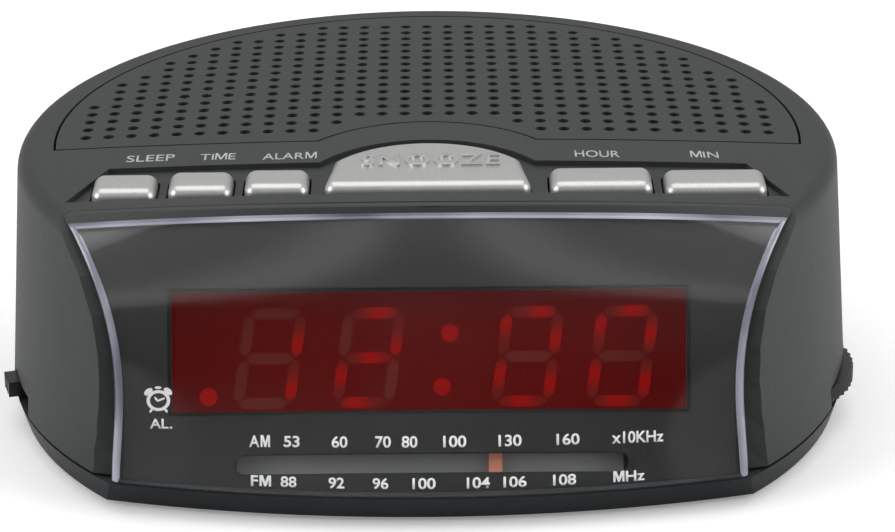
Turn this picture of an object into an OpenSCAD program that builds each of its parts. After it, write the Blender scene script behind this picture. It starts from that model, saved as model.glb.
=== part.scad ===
// Clock radio with a drum-shaped housing, a full-width front lens and a perforated roof.
// The body's upright axis passes near the middle; the front is cut by a leaning, bowed face.

/* [Body] */
// Radius of the body at the parting line
body_r = 80.3; // [79.5:0.1:82]
// Distance that the wall leans in by roof height
crest_in = 3.3; // [2.3:0.1:3.8]
// Height of the roof's middle above the table
body_h = 53; // [52:0.5:56]
// Height of the parting line between housing and base
part_z = 6; // [6:0.1:6.4]
// Gap that shows at the parting line
part_gap = 0.6; // [0.4:0.1:1]
// Radius of the roof's crown
crown_r = 1600; // [1200:50:2400]
// Round along the roof's edge
edge_r = 3.5; // [2:0.5:4.5]
// Thickness of the side wall
wall = 2.2; // [1.8:0.1:2.6]
// Thickness of the roof
roof_t = 3.6; // [3.4:0.1:4]
// Height of the rubber feet
foot_h = 1; // [0.8:0.1:1.4]
// Radius of a foot
foot_r = 5; // [4:0.5:6]
// Thickness of the base floor
floor_t = 2.2; // [2:0.1:2.6]

/* [Front] */
// Distance of the front face in from the body's radius, at its top
front_top_in = 38.9; // [38.4:0.1:39.4]
// Distance of the front face in from the body's radius, at the parting line
front_foot_in = 16.5; // [15.3:0.1:16.8]
// Radius of the front's bow at the parting line
front_arc = 219; // [205:1:240]
// Depth of the hollow across the front's upper half, at the sides
front_hollow = 5.2; // [4.8:0.1:5.6]
// Drop of the front face's top edge below the roof's middle
front_drop = 1; // [0.5:0.1:1.5]
// Thickness of the lens
lens_t = 2.4; // [2:0.1:2.6]
// Thickness of the bezel behind the lens
bezel_t = 1.6; // [1.4:0.1:1.7]
// Width of the display window
window_w = 91.6; // [88:0.2:93]
// Distance of the window's top down the front's slope
window_s = 14.2; // [13.8:0.1:15]
// Height of the display window along the slope
window_h = 21.2; // [20:0.2:21.6]

/* [Dial] */
// Distance of the dial slot's middle up the slope from the parting line
dial_up = 6; // [5.9:0.1:6.6]
// Height of the dial slot
dial_h = 4; // [3:0.1:4.4]
// Width of the dial slot
dial_w = 69; // [64:0.5:70]
// Place of the pointer along the dial
pointer_x = 11.7; // [-20:0.1:20]
// Width of the pointer
pointer_w = 2.4; // [1.6:0.1:3]
// Radius of the tuning thumbwheel
tune_r = 20; // [19:0.1:20.5]
// Thickness of both thumbwheels
rim_t = 3; // [2.4:0.1:3.2]
// Radius of the cord on its drum
drum_r = 14.4; // [13.5:0.1:14.6]
// Thickness of the dial cord
cord_d = 0.8; // [0.6:0.1:1]
// Radius of the volume thumbwheel
volume_r = 15; // [14:0.1:16]
// Number of teeth on a thumbwheel's edge
rim_teeth = 60; // [40:1:80]

/* [Grille] */
// Distance of the grille panel's edge in from the body's radius
grille_in = 10.3; // [9.8:0.1:11]
// Thickness of the grille panel
grille_t = 2; // [1.6:0.1:2.2]
// Groove round the grille panel
groove = 0.5; // [0.3:0.1:0.8]
// Distance of the grille's straight front edge behind the keys' front edge
grille_back = 25.8; // [25.5:0.1:27]
// Spacing of the grille holes
hole_pitch = 4.3; // [4.2:0.1:5]
// Diameter of a grille hole
hole_d = 2.1; // [1.6:0.1:2.4]
// Distance of the first row of holes behind the grille's front edge
first_hole = 5.5; // [5.2:0.1:6.4]
// Least rim of plain panel round the holes
hole_rim = 3.4; // [3:0.1:5]

/* [Keys] */
// Width of the three small keys
small_w = 11.6; // [10.6:0.1:11.7]
// Spacing of the three small keys
small_pitch = 13.8; // [13.8:0.1:14.1]
// Distance of the first small key's middle in from the trough's end
small_in = 10.3; // [10.1:0.1:10.5]
// Width of the two larger keys
large_w = 18.5; // [17.4:0.1:18.6]
// Spacing of the two larger keys
large_pitch = 20.7; // [20.7:0.1:21.1]
// Distance of the last key's middle in from the trough's end
large_in = 13.1; // [12.9:0.1:13.3]
// Space between the small keys and the snooze key
snooze_space = 2.85; // [2.7:0.05:3.4]
// Radius of the snooze key's arched back
snooze_arch = 20.4; // [20:0.1:20.9]
// Distance of the keys' front edge behind the front face's top
key_back = 8; // [7.7:0.1:8.5]
// Depth of the straight keys, front to back
key_depth = 9.6; // [9:0.1:10]
// Height of a key's top above the roof
key_proud = 1.2; // [0.6:0.1:1.4]
// Travel of a key
key_travel = 0.6; // [0.4:0.1:0.7]
// Clearance round a key in its aperture
key_gap = 0.4; // [0.3:0.05:0.5]
// Depth of the key trough
trough_depth = 1; // [0.8:0.1:1.6]

/* [Sides] */
// Travel of the function switch
function_travel = 8; // [6:0.5:9]
// Travel of the band switch
band_travel = 4; // [3:0.5:5]
// Length of a switch knob
knob_l = 5.3; // [4.5:0.1:6]
// Height of a switch knob
knob_h = 3; // [2.6:0.1:3.2]
// Reach of the function knob and the tuning wheel beyond the body's radius
side_proud = 0.5; // [0.5:0.1:1]

/* [Inside] */
// Radius of the loudspeaker
speaker_r = 33; // [30:0.5:34]
// Length of the battery bay
bay_l = 54; // [53.5:0.5:55]
// Width of the battery bay
bay_w = 28; // [27.5:0.5:29]
// Height of the battery bay
bay_h = 18.5; // [18:0.1:19]
// Thickness of a circuit board
board_t = 1.6; // [1.2:0.1:1.8]
// Diameter of a case screw
screw_d = 3; // [2.6:0.1:3.2]

/* [Hidden] */
$fn = 64;

// Clearances
fit = 0.2;
run_fit = 0.05;
clear = 0.4;

// Levels of the parting line
rim_z = part_z + part_gap / 2;
base_rim_z = part_z - part_gap / 2;
base_z = foot_h;
floor_z = base_z + floor_t;

// Upright profile: the wall leans in towards the roof, and the roof is a shallow dish turned over
crest_r = body_r - crest_in;
lean = crest_in / (body_h - part_z);
round_steps = 8;
roof_bands = 5;
function wall_r(z) = body_r - lean * (z - part_z);
function roof_z(r) = body_h - r^2 / (2 * crown_r);

// Front face: hollow across its upper half, and bowed along its top edge and at the parting line
bow_rate = 2.5;
top_arc = 1000;
top_rate = 4;
hollow_half = 60;
hollow_peak = 4 / 27;
front_top = body_r - front_top_in;
front_foot = body_r - front_foot_in;
front_half = body_r - 10;
front_columns = 20;
front_rows = 8;
front_z = body_h - front_drop;
front_fall = front_z - part_z;
front_lean = atan((front_foot - front_top) / front_fall);
slope_l = front_fall / cos(front_lean);
dial_s = slope_l - dial_up;
function front_y(x, z) =
    let (t = (front_z - z) / front_fall)
    let (bow = x^2 / (2 * front_arc) * max(t, 0)^bow_rate)
    let (top_bow = x^2 / (2 * top_arc) * max(1 - t, 0)^top_rate)
    let (hollow = front_hollow * (x / hollow_half)^2 * max(t, 0) * max(1 - t, 0)^2 / hollow_peak)
    -front_top - (front_foot - front_top) * t + bow + top_bow - hollow;

// The drum is set so that the part's middle stands on the origin
axis_y = -(wall_r(rim_z) + front_y(0, rim_z)) / 2;

// Base: tucks in under the parting line
base_tuck = 1.5;
front_tuck = 2.8;
function tuck(z) = (part_z - z) / (part_z - base_z);
function base_r(z) = body_r - base_tuck * tuck(z);
function base_arc(z) = front_arc - front_tuck * tuck(z);
tongue_h = 2.4;
tongue_t = 1.4;

// Grille: arch notch round the snooze key
key_front = front_top - key_back;
grille_r = body_r - grille_in;
grille_front = key_front - grille_back;
first_row = grille_front - first_hole;
arch_r = 26.7;
arch_rise = 9.6;
arch_peak = arch_rise - grille_front;
arch_rim = 3.8;
grille_ledge = 1.5;

// Key trough
trough_lip = 1;
trough_half = body_r - 15.1;
trough_back_half = trough_half - 6.5;
trough_back = key_front - 14.5;
trough_arch = 3;
snooze_c = key_front - 2;
snooze_taper = 1.45;
key_round = 2;
key_bevel = 0.9;
flange_w = 0.9;
flange_t = 1.2;
stem_w = 4;
tact_gap = key_travel + 0.2;
tact_w = 6.2;
tact_h = 3.5;
tact_button_r = 1.7;
tact_button_h = 0.9;
key_board_z = body_h - 15;
key_board_front = key_front - 0.5;
key_board_l = 23;
stem_z = key_board_z + board_t + tact_h + tact_button_h + tact_gap;

// Key places: name order is sleep, time, alarm, hour, min
small_x = [for (i = [0:2]) small_in - trough_half + i * small_pitch];
large_x = [for (i = [1, 0]) trough_half - large_in - i * large_pitch];
snooze_half = -small_x[2] - small_w / 2 - snooze_space;

// Stack behind the lens, as depths square to the front's slope
led_depth = 7.8;
led_t = 7.2;
led_w = 96;
led_h = 23.6;
filter_t = 0.8;
board_depth = led_depth + led_t;
clock_board_s = 12;
clock_board_h = 27.5;
clock_board_w = 112;
led_s = window_s + window_h / 2;
segment_t = 0.2;
segment_w = 2;
segment_gap = 0.25;
digit_w = 9.2;
digit_h = 16;
digit_lean = 8;
digit_x = [-28.6, -10.8, 17.7, 34.7];
dot_r = 1.6;
dot_places = [[3.8, 4.3], [2.3, -5.3], [-39.6, -6.7]];

// Dial drive
tune_level = rim_z + 0.4;
tune_angle = 12.25;
side_reach = body_r + side_proud;
tune_x = side_reach - tune_r;
tune_y = -tune_x * tan(tune_angle);
drum_flange = 0.7;
drum_t = 2.2;
tooth_d = 0.5;
shaft_r = 3;
cord_z = tune_level - drum_t / 2;
cord_gap = 0.3;
guide_r = 3;
guide_t = 2.4;
guide_x = 35;
cord_front = 13.8 - front_foot;
guide_y = cord_front + guide_r + cord_d / 2;
rail_r = 1;
rail_y = 14.3 - front_foot;
rail_z = 9.2;
rail_half = 46;
bracket_t = 3;
carriage_l = 8;
carriage_y = 12 - front_foot;
carriage_d = 4.3;
carriage_z = 4.4;
arm_y = 9.8 - front_foot;
arm_z = 11.7;
arm_t = 0.8;
flag_s = dial_s - dial_h / 2 - 2;
flag_l = dial_h + 2.2;
flag_depth = 6.2;
flag_t = 0.8;
plate_depth = 7.4;
plate_w = 78;
plate_h = 6;
plate_t = 1;
shaft_in = 4;
tuner_w = 20;
tuner_h = 11;
pot_w = 14;
pot_h = 7;
volume_reach = 1.4;
volume_angle = 160.5;
volume_d = wall_r(tune_level) + volume_reach - volume_r;
volume_x = volume_d * cos(volume_angle);
volume_y = volume_d * sin(volume_angle);

// Side switches, each set square to the drum at its own angle
function_angle = 195.7;
band_angle = 14.5;
knob_z = rim_z + 0.3;
knob_root = body_r - 9.8;
slot_top = tune_level + rim_t + clear;
function_turn = function_angle - 180;
function_reach = (side_reach - (function_travel + knob_l) / 2 * sin(function_turn)) / cos(function_turn);
band_reach = 1.6;
switch_w = 6;
switch_extra = 8;

// Boards and posts
main_z = 11;
main_top = main_z + board_t;
post_r = 3;
pilot_r = screw_d / 2 + run_fit;
small_screw_r = 1.2;
small_pilot_r = small_screw_r + run_fit;
small_head_h = 1.4;
key_screw_l = 7;
board_screw_l = 6;
speaker_screw_l = 4.5;
core_screw_l = 4;
boss_end = 4;
main_posts = [[-45, -34], [45, -34], [-42, 4], [42, 4], [-45, 36], [52, 30]];
case_post_d = body_r - 7.8;
case_angles = [214.3, -34.3, 123.7, 56.3];
case_posts = [for (a = case_angles) case_post_d * [cos(a), sin(a)]];
case_post_r = 4;
case_post_top = 14;
case_boss_top = 30;
case_rib_t = 2;
case_rib_short = 2;
key_post_r = 2.4;
key_post_x = [body_r - 13.1, body_r - 35.3];
key_post_y = [7.5 - key_front, 19.5 - key_front];
key_posts = [for (i = [0, 1]) for (side = [-1, 1]) [side * key_post_x[i], key_post_y[i]]];
clock_post_r = 2.6;
clock_posts = [[-51.5, 15], [51.5, 15], [-51.5, 36.5], [51.5, 36.5]];

main_half = 54;
main_front = 38;
main_back = 7;
wing_in = 40;
wing_front = 26;
wing_back = 40;

// Parts on the main board: capacitors as x, y, radius, height
cap_places = [[-20, -16, 4, 12], [-9, -13, 3, 9], [14, -12, 4, 12], [28, -16, 3, 9]];
can_places = [[-37, -12], [-29, -4], [30, -4]];
can_w = 7;
can_h = 8;
chip_x = -8;
chip_y = -4;
chip_l = 20;
chip_w = 7;
chip_h = 3.5;
rod_y = -28;
rod_z = 20;
rod_r = 4;
rod_l = 70;
coil_l = 18;
coil_r = 5.5;
holder_x = 26;
holder_t = 5;

// Loudspeaker
speaker_y = 26;
speaker_z = body_h - 6.6;
speaker_boss_r = 2.6;
speaker_screw_r = speaker_r - 2.6;
speaker_rim = 6;
basket_d = 15.4;
basket_t = 1.2;
magnet_r = 15;
magnet_h = 6.8;
cone_z = -9;
cone_t = 0.5;
cap_r = 7;

// Battery bay, its door and its contacts
bay_y = 9;
bay_wall = 1.6;
door_t = 2;
door_z = base_z + door_t / 2;
door_y = bay_y + clear + door_t / 2;
pin_r = 0.5;
pin_l = 1.2;
notch_w = 12;
notch_d = 4;
snap_t = 1;
snap_r = 2.8;
snap_h = 3;
snap_pitch = 12.7;

// Transformer
core_w = 40;
core_d = 14;
core_h = 28;
core_y = body_r - 22.3;
core_lift = 4;
core_ear = 25;
ear_t = 1.2;
leg_w = 12;
window_gap = core_w / 2 - leg_w;
coil_out = 6;
vent_pitch = 5;
vent_w = 2;
vent_l = 16;

// Base details
tongue_front = 45;
head_sink = 4;
foot_places = [[-46, -34], [46, -34], [-50, 42], [50, 42]];
lead_r = 3.2;
bush_r = 5;
bush_z = 15;
bush_angle = 62;
bush_tail = 2;
bush_flange = 1.2;

// Shared forms

// Closed slab that follows the front face between two depths and two levels
module front_slab(near, far, z0, z1) {
    nx = front_columns;
    nz = front_rows;
    layer = (nx + 1) * (nz + 1);
    points = [
        for (d = [near, far])
            for (j = [0:nz])
                for (i = [0:nx])
                    let (x = front_half * (2 * i / nx - 1))
                    let (z = z1 + (z0 - z1) * j / nz)
                    [x, front_y(x, z) + d / cos(front_lean), z]
    ];
    function at(k, j, i) = k * layer + j * (nx + 1) + i;
    function quad(a, b, c, d) = [[a, b, c], [a, c, d]];
    faces = concat(
        [for (j = [0:nz - 1]) for (i = [0:nx - 1]) for (f =
            quad(at(0, j, i), at(0, j, i + 1), at(0, j + 1, i + 1), at(0, j + 1, i))) f],
        [for (j = [0:nz - 1]) for (i = [0:nx - 1]) for (f =
            quad(at(1, j, i), at(1, j + 1, i), at(1, j + 1, i + 1), at(1, j, i + 1))) f],
        [for (i = [0:nx - 1]) for (f =
            quad(at(1, 0, i), at(1, 0, i + 1), at(0, 0, i + 1), at(0, 0, i))) f],
        [for (i = [0:nx - 1]) for (f =
            quad(at(1, nz, i), at(0, nz, i), at(0, nz, i + 1), at(1, nz, i + 1))) f],
        [for (j = [0:nz - 1]) for (f =
            quad(at(1, j, 0), at(0, j, 0), at(0, j + 1, 0), at(1, j + 1, 0))) f],
        [for (j = [0:nz - 1]) for (f =
            quad(at(1, j, nx), at(1, j + 1, nx), at(0, j + 1, nx), at(0, j, nx))) f]
    );
    polyhedron(points, faces);
}

// Solid drum inside the outer skin, by an inset of the wall and a drop of the roof
module drum(inset = 0, drop = 0, z0 = rim_z) {
    e = max(edge_r - inset, 0.6);
    r_c = wall_r(roof_z(crest_r) - drop - e) - inset - e;
    z_c = roof_z(r_c) - drop - e;
    a0 = atan(lean);
    a1 = 90 - asin(r_c / crown_r);
    rotate_extrude($fn = 128)
        polygon(concat(
            [[0, z0], [wall_r(z0) - inset, z0]],
            [for (i = [0:round_steps])
                let (a = a0 + (a1 - a0) * i / round_steps)
                [r_c + e * cos(a), z_c + e * sin(a)]],
            [for (i = [1:roof_bands])
                let (r = r_c * (1 - i / roof_bands))
                [r, roof_z(r) - drop]]
        ));
}

// Frame on the front's slope: X across, -Y down the slope, +Z out of the body
module on_front() {
    translate([0, -front_top, front_z])
        rotate([90 - front_lean, 0, 0])
            children();
}

// Plain block standing on the front's slope: middle x, start s down the slope, depth d
module front_block(x, s, d, size) {
    on_front()
        translate([x - size[0] / 2, -s - size[1], -d - size[2]])
            cube(size);
}

// Rounded rectangle as an outline
module round_rect(x0, x1, y0, y1, r) {
    corners = [[x1 - r, y1 - r, 0], [x0 + r, y1 - r, 90], [x0 + r, y0 + r, 180], [x1 - r, y0 + r, 270]];
    polygon([for (c = corners) for (a = [0:22.5:90]) [c[0] + r * cos(c[2] + a), c[1] + r * sin(c[2] + a)]]);
}

// Round post with a pilot hole from its end
module post(place, r, z0, z1, bore_r) {
    translate([place[0], place[1], z0])
        difference() {
            cylinder(h = z1 - z0, r = r);
            translate([0, 0, -1])
                cylinder(h = z1 - z0 + 2, r = bore_r);
        }
}

// Screw that points along +Z: head below, shank above
module screw(r, head_r, head_h, length) {
    translate([0, 0, -head_h])
        cylinder(h = head_h, r = head_r);
    cylinder(h = length, r = r);
}

// Groups of controls that pass through the wall at the parting line
module control_slots(grow, slot_z = base_rim_z - 0.1) {
    translate([tune_x, tune_y, slot_z])
        cylinder(h = slot_top - slot_z, r = tune_r + grow);
    translate([volume_x, volume_y, slot_z])
        cylinder(h = slot_top - slot_z, r = volume_r + grow);
    switch_slot(function_angle, function_travel, grow, slot_z);
    switch_slot(band_angle, band_travel, grow, slot_z);
}

module switch_slot(angle, travel, grow, slot_z) {
    slot_l = travel + knob_l + 2 * grow;
    rotate([0, 0, angle])
        translate([body_r - 3 * wall, -slot_l / 2, slot_z])
            cube([4 * wall, slot_l, slot_top - slot_z]);
}

// Outlines on the roof

module grille_outline(grow = 0) {
    difference() {
        intersection() {
            circle(grille_r + grow);
            translate([-body_r, -grille_front - grow])
                square(2 * body_r);
        }
        translate([0, arch_peak - arch_r])
            circle(arch_r - grow);
    }
}

module trough_outline() {
    front = -key_front - trough_lip;
    polygon([[-trough_half, front], [trough_half, front],
        [trough_back_half, -trough_back], [-trough_back_half, -trough_back]]);
    intersection() {
        translate([0, -snooze_c])
            circle(snooze_arch + trough_arch);
        translate([-body_r, front])
            square(2 * body_r);
    }
}

module key_outline(x, w, grow = 0) {
    round_rect(x - w / 2 - grow, x + w / 2 + grow, -key_front - grow,
        key_depth - key_front + grow, key_round + grow / 2);
}

module snooze_outline(grow = 0) {
    r = snooze_arch + grow;
    x_c = snooze_half - snooze_taper + grow;
    a0 = acos(x_c / r);
    steps = 18;
    polygon(concat(
        [[-snooze_half - grow, -key_front - grow], [snooze_half + grow, -key_front - grow]],
        [for (i = [0:steps])
            let (a = a0 + (180 - 2 * a0) * i / steps)
            [r * cos(a), r * sin(a) - snooze_c]]
    ));
}

// All key apertures in the roof
module key_apertures() {
    for (x = small_x)
        key_outline(x, small_w, key_gap);
    for (x = large_x)
        key_outline(x, large_w, key_gap);
    snooze_outline(key_gap);
}

// Pieces of the case

module upper_housing() {
    color("#3a3b3d") {
        difference() {
            drum();
            drum(inset = wall, drop = roof_t, z0 = rim_z - 1);
            front_slab(-body_r, lens_t + fit, rim_z - 2, body_h + 2);
            // seat and opening of the grille panel
            difference() {
                translate([0, 0, body_h / 2])
                    linear_extrude(body_h)
                        grille_outline(groove);
                drum(drop = grille_t + fit);
            }
            translate([0, 0, body_h / 2])
                linear_extrude(body_h)
                    grille_outline(-grille_ledge);
            // key trough and key apertures
            difference() {
                translate([0, 0, body_h / 2])
                    linear_extrude(body_h)
                        trough_outline();
                drum(drop = trough_depth);
            }
            translate([0, 0, body_h / 2])
                linear_extrude(body_h)
                    key_apertures();
            control_slots(clear + 0.3);
            lead_hole();
        }
        housing_bosses();
    }
}

// Bosses inside the housing: case screws along the wall and the key board under the roof
module housing_bosses() {
    intersection() {
        union() {
            for (p = case_posts) {
                post(p, case_post_r, case_post_top + fit, case_boss_top, pilot_r);
                case_rib(p);
            }
            for (p = key_posts)
                post(p, key_post_r, key_board_z + board_t, body_h, small_pilot_r);
        }
        drum(inset = wall / 2, drop = roof_t / 2);
    }
}

// Rib that ties a screw boss to the wall
module case_rib(p) {
    rib_z = case_post_top + fit + case_rib_short;
    rotate([0, 0, atan2(p[1], p[0])])
        translate([norm(p) + case_post_r / 2, -case_rib_t / 2, rib_z])
            cube([body_r - norm(p), case_rib_t, case_boss_top - case_rib_short - rib_z]);
}

module lead_hole() {
    rotate([0, 0, bush_angle])
        translate([body_r - 4 * wall, 0, bush_z])
            rotate([0, 90, 0])
                cylinder(h = 6 * wall, r = bush_r + fit);
}

module base_solid(inset, z0, z1) {
    intersection() {
        rotate_extrude($fn = 128)
            polygon([[0, z0], [base_r(z0) - inset, z0], [base_r(z1) - inset, z1], [0, z1]]);
        translate([0, front_arc - front_foot, z0])
            cylinder(h = z1 - z0, r1 = base_arc(z0) - inset, r2 = base_arc(z1) - inset, $fn = 256);
    }
}

module front_lens() {
    color("#c9cad8", 0.4)
        intersection() {
            front_slab(0, lens_t, rim_z, body_h + 1);
            drum();
        }
}

module speaker_grille() {
    rows = ceil(2 * grille_r / hole_pitch);
    columns = floor(grille_r / hole_pitch);
    places = [
        for (j = [0:rows])
            for (i = [-columns:columns])
                let (p = [i * hole_pitch, j * hole_pitch - first_row])
                if (norm(p) < grille_r - hole_rim && norm(p - [0, arch_peak - arch_r]) > arch_r + arch_rim)
                    p
    ];
    color("#38393b") {
        intersection() {
            translate([0, 0, body_h / 2])
                linear_extrude(body_h)
                    difference() {
                        grille_outline();
                        for (p = places)
                            translate(p)
                                circle(d = hole_d, $fn = 24);
                    }
            crown_slab(0, grille_t);
        }
        speaker_bosses();
    }
}

// Slab under the roof's crown, in flat panes three holes wide, whose joints pass between the holes
module crown_slab(top, bottom) {
    pane = 3 * hole_pitch;
    nx = ceil(2 * body_r / pane / 2) * 2 + 1;
    ny = ceil((grille_r + grille_front) / pane) + 1;
    layer = (nx + 1) * (ny + 1);
    points = [
        for (drop = [top, bottom])
            for (j = [0:ny])
                for (i = [0:nx])
                    let (x = (i - nx / 2) * pane)
                    let (y = (j - 1) * pane - hole_pitch / 2 - first_row)
                    [x, y, roof_z(norm([x, y])) - drop]
    ];
    function at(k, j, i) = k * layer + j * (nx + 1) + i;
    faces = concat(
        [for (j = [0:ny - 1]) for (i = [0:nx - 1])
            [at(0, j, i), at(0, j + 1, i), at(0, j + 1, i + 1), at(0, j, i + 1)]],
        [for (j = [0:ny - 1]) for (i = [0:nx - 1])
            [at(1, j, i), at(1, j, i + 1), at(1, j + 1, i + 1), at(1, j + 1, i)]],
        [for (i = [0:nx - 1]) [at(0, 0, i), at(0, 0, i + 1), at(1, 0, i + 1), at(1, 0, i)]],
        [for (i = [0:nx - 1]) [at(0, ny, i), at(1, ny, i), at(1, ny, i + 1), at(0, ny, i + 1)]],
        [for (j = [0:ny - 1]) [at(0, j, 0), at(1, j, 0), at(1, j + 1, 0), at(0, j + 1, 0)]],
        [for (j = [0:ny - 1]) [at(0, j, nx), at(0, j + 1, nx), at(1, j + 1, nx), at(1, j, nx)]]
    );
    polyhedron(points, faces);
}

module speaker_places() {
    for (a = [45:90:315])
        translate([speaker_screw_r * cos(a), speaker_y + speaker_screw_r * sin(a), 0])
            children();
}

// Bosses under the grille for the loudspeaker's screws
module speaker_bosses() {
    intersection() {
        speaker_places()
            post([0, 0], speaker_boss_r, speaker_z, body_h, small_pilot_r);
        crown_slab(grille_t - 0.3, body_h / 2);
    }
}

module base_cover() {
    color("#242526")
        difference() {
            union() {
                difference() {
                    base_solid(0, base_z, base_rim_z);
                    base_solid(wall, floor_z, base_rim_z + 1);
                }
                base_tongue();
                base_posts();
                translate([-bay_l / 2 - bay_wall, bay_y - bay_wall, floor_z - 0.5])
                    cube([bay_l + 2 * bay_wall, bay_w + 2 * bay_wall, bay_h + bay_wall + 0.5]);
            }
            // battery bay, open below
            translate([-bay_l / 2, bay_y, base_z - 1])
                cube([bay_l, bay_w, floor_t + bay_h + 1]);
            door_pin(pin_r + run_fit, fit);
            // finger notch beside the door's free edge
            translate([-notch_w / 2, bay_y + bay_w - 1, base_z - 1])
                cube([notch_w, notch_d + 1, 2]);
            // screw holes with sunk heads
            for (p = case_posts)
                translate([p[0], p[1], base_z - 1]) {
                    cylinder(h = case_post_top + 1, r = screw_d / 2 + fit);
                    cylinder(h = head_sink + 1, r = screw_d + clear);
                }
            vent_slots();
        }
}

// Inner rim that locates the housing on the base
module base_tongue() {
    r = wall_r(rim_z) - wall - fit;
    difference() {
        translate([0, 0, floor_z - 0.5])
            cylinder(h = part_z + tongue_h - floor_z + 0.5, r = r, $fn = 128);
        translate([0, 0, floor_z - 1])
            cylinder(h = body_h, r = r - tongue_t, $fn = 128);
        translate([-body_r, -2 * body_r - tongue_front, 0])
            cube([2 * body_r, 2 * body_r, body_h]);
        control_slots(clear + 0.3, floor_z);
    }
}

// Posts on the base floor for the case, the main board, the transformer, the cord and the rail
module base_posts() {
    for (p = case_posts)
        translate([p[0], p[1], floor_z - 0.5])
            cylinder(h = case_post_top - floor_z + 0.5, r = case_post_r);
    for (p = main_posts)
        post(p, post_r, floor_z - 0.5, main_z, small_pilot_r);
    for (x = [-core_ear, core_ear])
        post([x, core_y], post_r, floor_z - 0.5, floor_z + core_lift, small_pilot_r);
    for (x = [-guide_x, guide_x])
        translate([x, guide_y, floor_z - 0.5])
            cylinder(h = cord_z - guide_t / 2 - floor_z + 0.5, r = guide_r);
    for (side = [-1, 1])
        rail_bracket(side);
}

// Upright bracket with a bore for one end of the pointer rail
module rail_bracket(side) {
    difference() {
        translate([side * rail_half - bracket_t / 2, rail_y - 2.5, floor_z - 0.5])
            cube([bracket_t, 5, rail_z + 2.5 - floor_z + 0.5]);
        translate([side * rail_half, rail_y, rail_z])
            rotate([0, 90, 0])
                cylinder(h = 2 * bracket_t, r = rail_r + run_fit, center = true);
    }
}

// Slots that let the transformer's warmth out
module vent_slots() {
    for (i = [-3:3])
        translate([i * vent_pitch - vent_w / 2, core_y - vent_l / 2, base_z - 1])
            cube([vent_w, vent_l, floor_t + 2]);
}

module door_pin(r, extra) {
    for (side = [-1, 1])
        translate([side * (bay_l / 2 + (pin_l + extra) / 2 - clear / 2), door_y, door_z])
            rotate([0, 90, 0])
                cylinder(h = pin_l + extra + clear, r = r, center = true, $fn = 32);
}

module battery_door() {
    door_w = bay_l - 2 * clear;
    color("#242526") {
        difference() {
            translate([-door_w / 2, door_y, base_z])
                cube([door_w, bay_y + bay_w - clear - door_y, door_t]);
            // grip grooves near the free edge
            for (i = [0:2])
                translate([-notch_w / 2, bay_y + bay_w - 4 - 2 * i, base_z - 0.5])
                    cube([notch_w, 1, 1]);
        }
        translate([0, door_y, door_z])
            rotate([0, 90, 0])
                cylinder(h = door_w, r = door_t / 2, center = true, $fn = 32);
        door_pin(pin_r, 0);
    }
}

module battery_contacts() {
    color("#b9a06a")
        translate([-bay_l / 2 + fit, bay_y + bay_w / 2, floor_z + bay_h / 2]) {
            translate([0, -bay_w / 2 + 1, -bay_h / 2 + 1])
                cube([snap_t, bay_w - 2, bay_h - 2]);
            for (side = [-1, 1])
                translate([snap_t, side * snap_pitch / 2, 0])
                    rotate([0, 90, 0])
                        cylinder(h = snap_h, r = side < 0 ? snap_r : snap_r + 1, $fn = 32);
        }
}

module feet() {
    color("#1a1a1a")
        for (p = foot_places)
            translate([p[0], p[1], 0])
                cylinder(h = foot_h, r = foot_r);
}

module case_screws() {
    color("#8a8d90")
        for (p = case_posts)
            translate([p[0], p[1], base_z + head_sink])
                screw(screw_d / 2, screw_d, head_sink / 2, case_boss_top - base_z - head_sink - boss_end);
}

module lead_bush() {
    reach = wall_r(rim_z) + fit;
    color("#1d1d1e")
        rotate([0, 0, bush_angle])
            translate([0, 0, bush_z])
                rotate([0, 90, 0])
                    difference() {
                        union() {
                            translate([0, 0, reach - wall - bush_tail])
                                cylinder(h = wall + bush_tail, r = bush_r);
                            translate([0, 0, reach])
                                cylinder(h = bush_flange, r = bush_r + 1.2);
                        }
                        translate([0, 0, reach - body_r / 2])
                            cylinder(h = body_r, r = lead_r);
                    }
}

// Keys and their board

// One key: bevelled cap, skirt, retaining flange and stem; the outline comes from children 0 to 2
module key(x, y, reach) {
    top = roof_z(norm([x, y])) + key_proud;
    under = roof_z(reach) - roof_t - fit;
    slice = 0.01;
    color("#b7b9bc") {
        hull() {
            translate([0, 0, under - flange_t / 2])
                linear_extrude(top - key_bevel - under + flange_t / 2)
                    children(0);
            translate([0, 0, top - key_bevel / 3 - slice])
                linear_extrude(slice)
                    children(1);
            translate([0, 0, top - slice])
                linear_extrude(slice)
                    children(2);
        }
        translate([0, 0, under - flange_t])
            linear_extrude(flange_t)
                children(3);
        translate([x - stem_w / 2, y - stem_w / 2, stem_z])
            cube([stem_w, stem_w, under - flange_t - stem_z + 0.1]);
    }
}

module straight_key(x, w) {
    key(x, key_depth / 2 - key_front, norm([abs(x) + w / 2 + flange_w, key_front + flange_w])) {
        key_outline(x, w);
        key_outline(x, w, -key_bevel / 3);
        key_outline(x, w, -key_bevel);
        key_outline(x, w, flange_w);
    }
}

module sleep_key() { straight_key(small_x[0], small_w); }
module time_key() { straight_key(small_x[1], small_w); }
module alarm_key() { straight_key(small_x[2], small_w); }
module hour_key() { straight_key(large_x[0], large_w); }
module min_key() { straight_key(large_x[1], large_w); }

module snooze_key() {
    key(0, key_depth / 2 - key_front, norm([snooze_half + flange_w, key_front + flange_w])) {
        snooze_outline();
        snooze_outline(-key_bevel / 3);
        snooze_outline(-key_bevel);
        snooze_outline(flange_w);
    }
}

module key_board() {
    color("#2f6b3a")
        translate([0, 0, key_board_z])
            linear_extrude(board_t)
                difference() {
                    intersection() {
                        translate([-body_r, -key_board_front])
                            square([2 * body_r, key_board_l]);
                        circle(wall_r(key_board_z) - wall - clear);
                    }
                    for (p = key_posts)
                        translate(p)
                            circle(small_screw_r + fit);
                }
}

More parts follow.
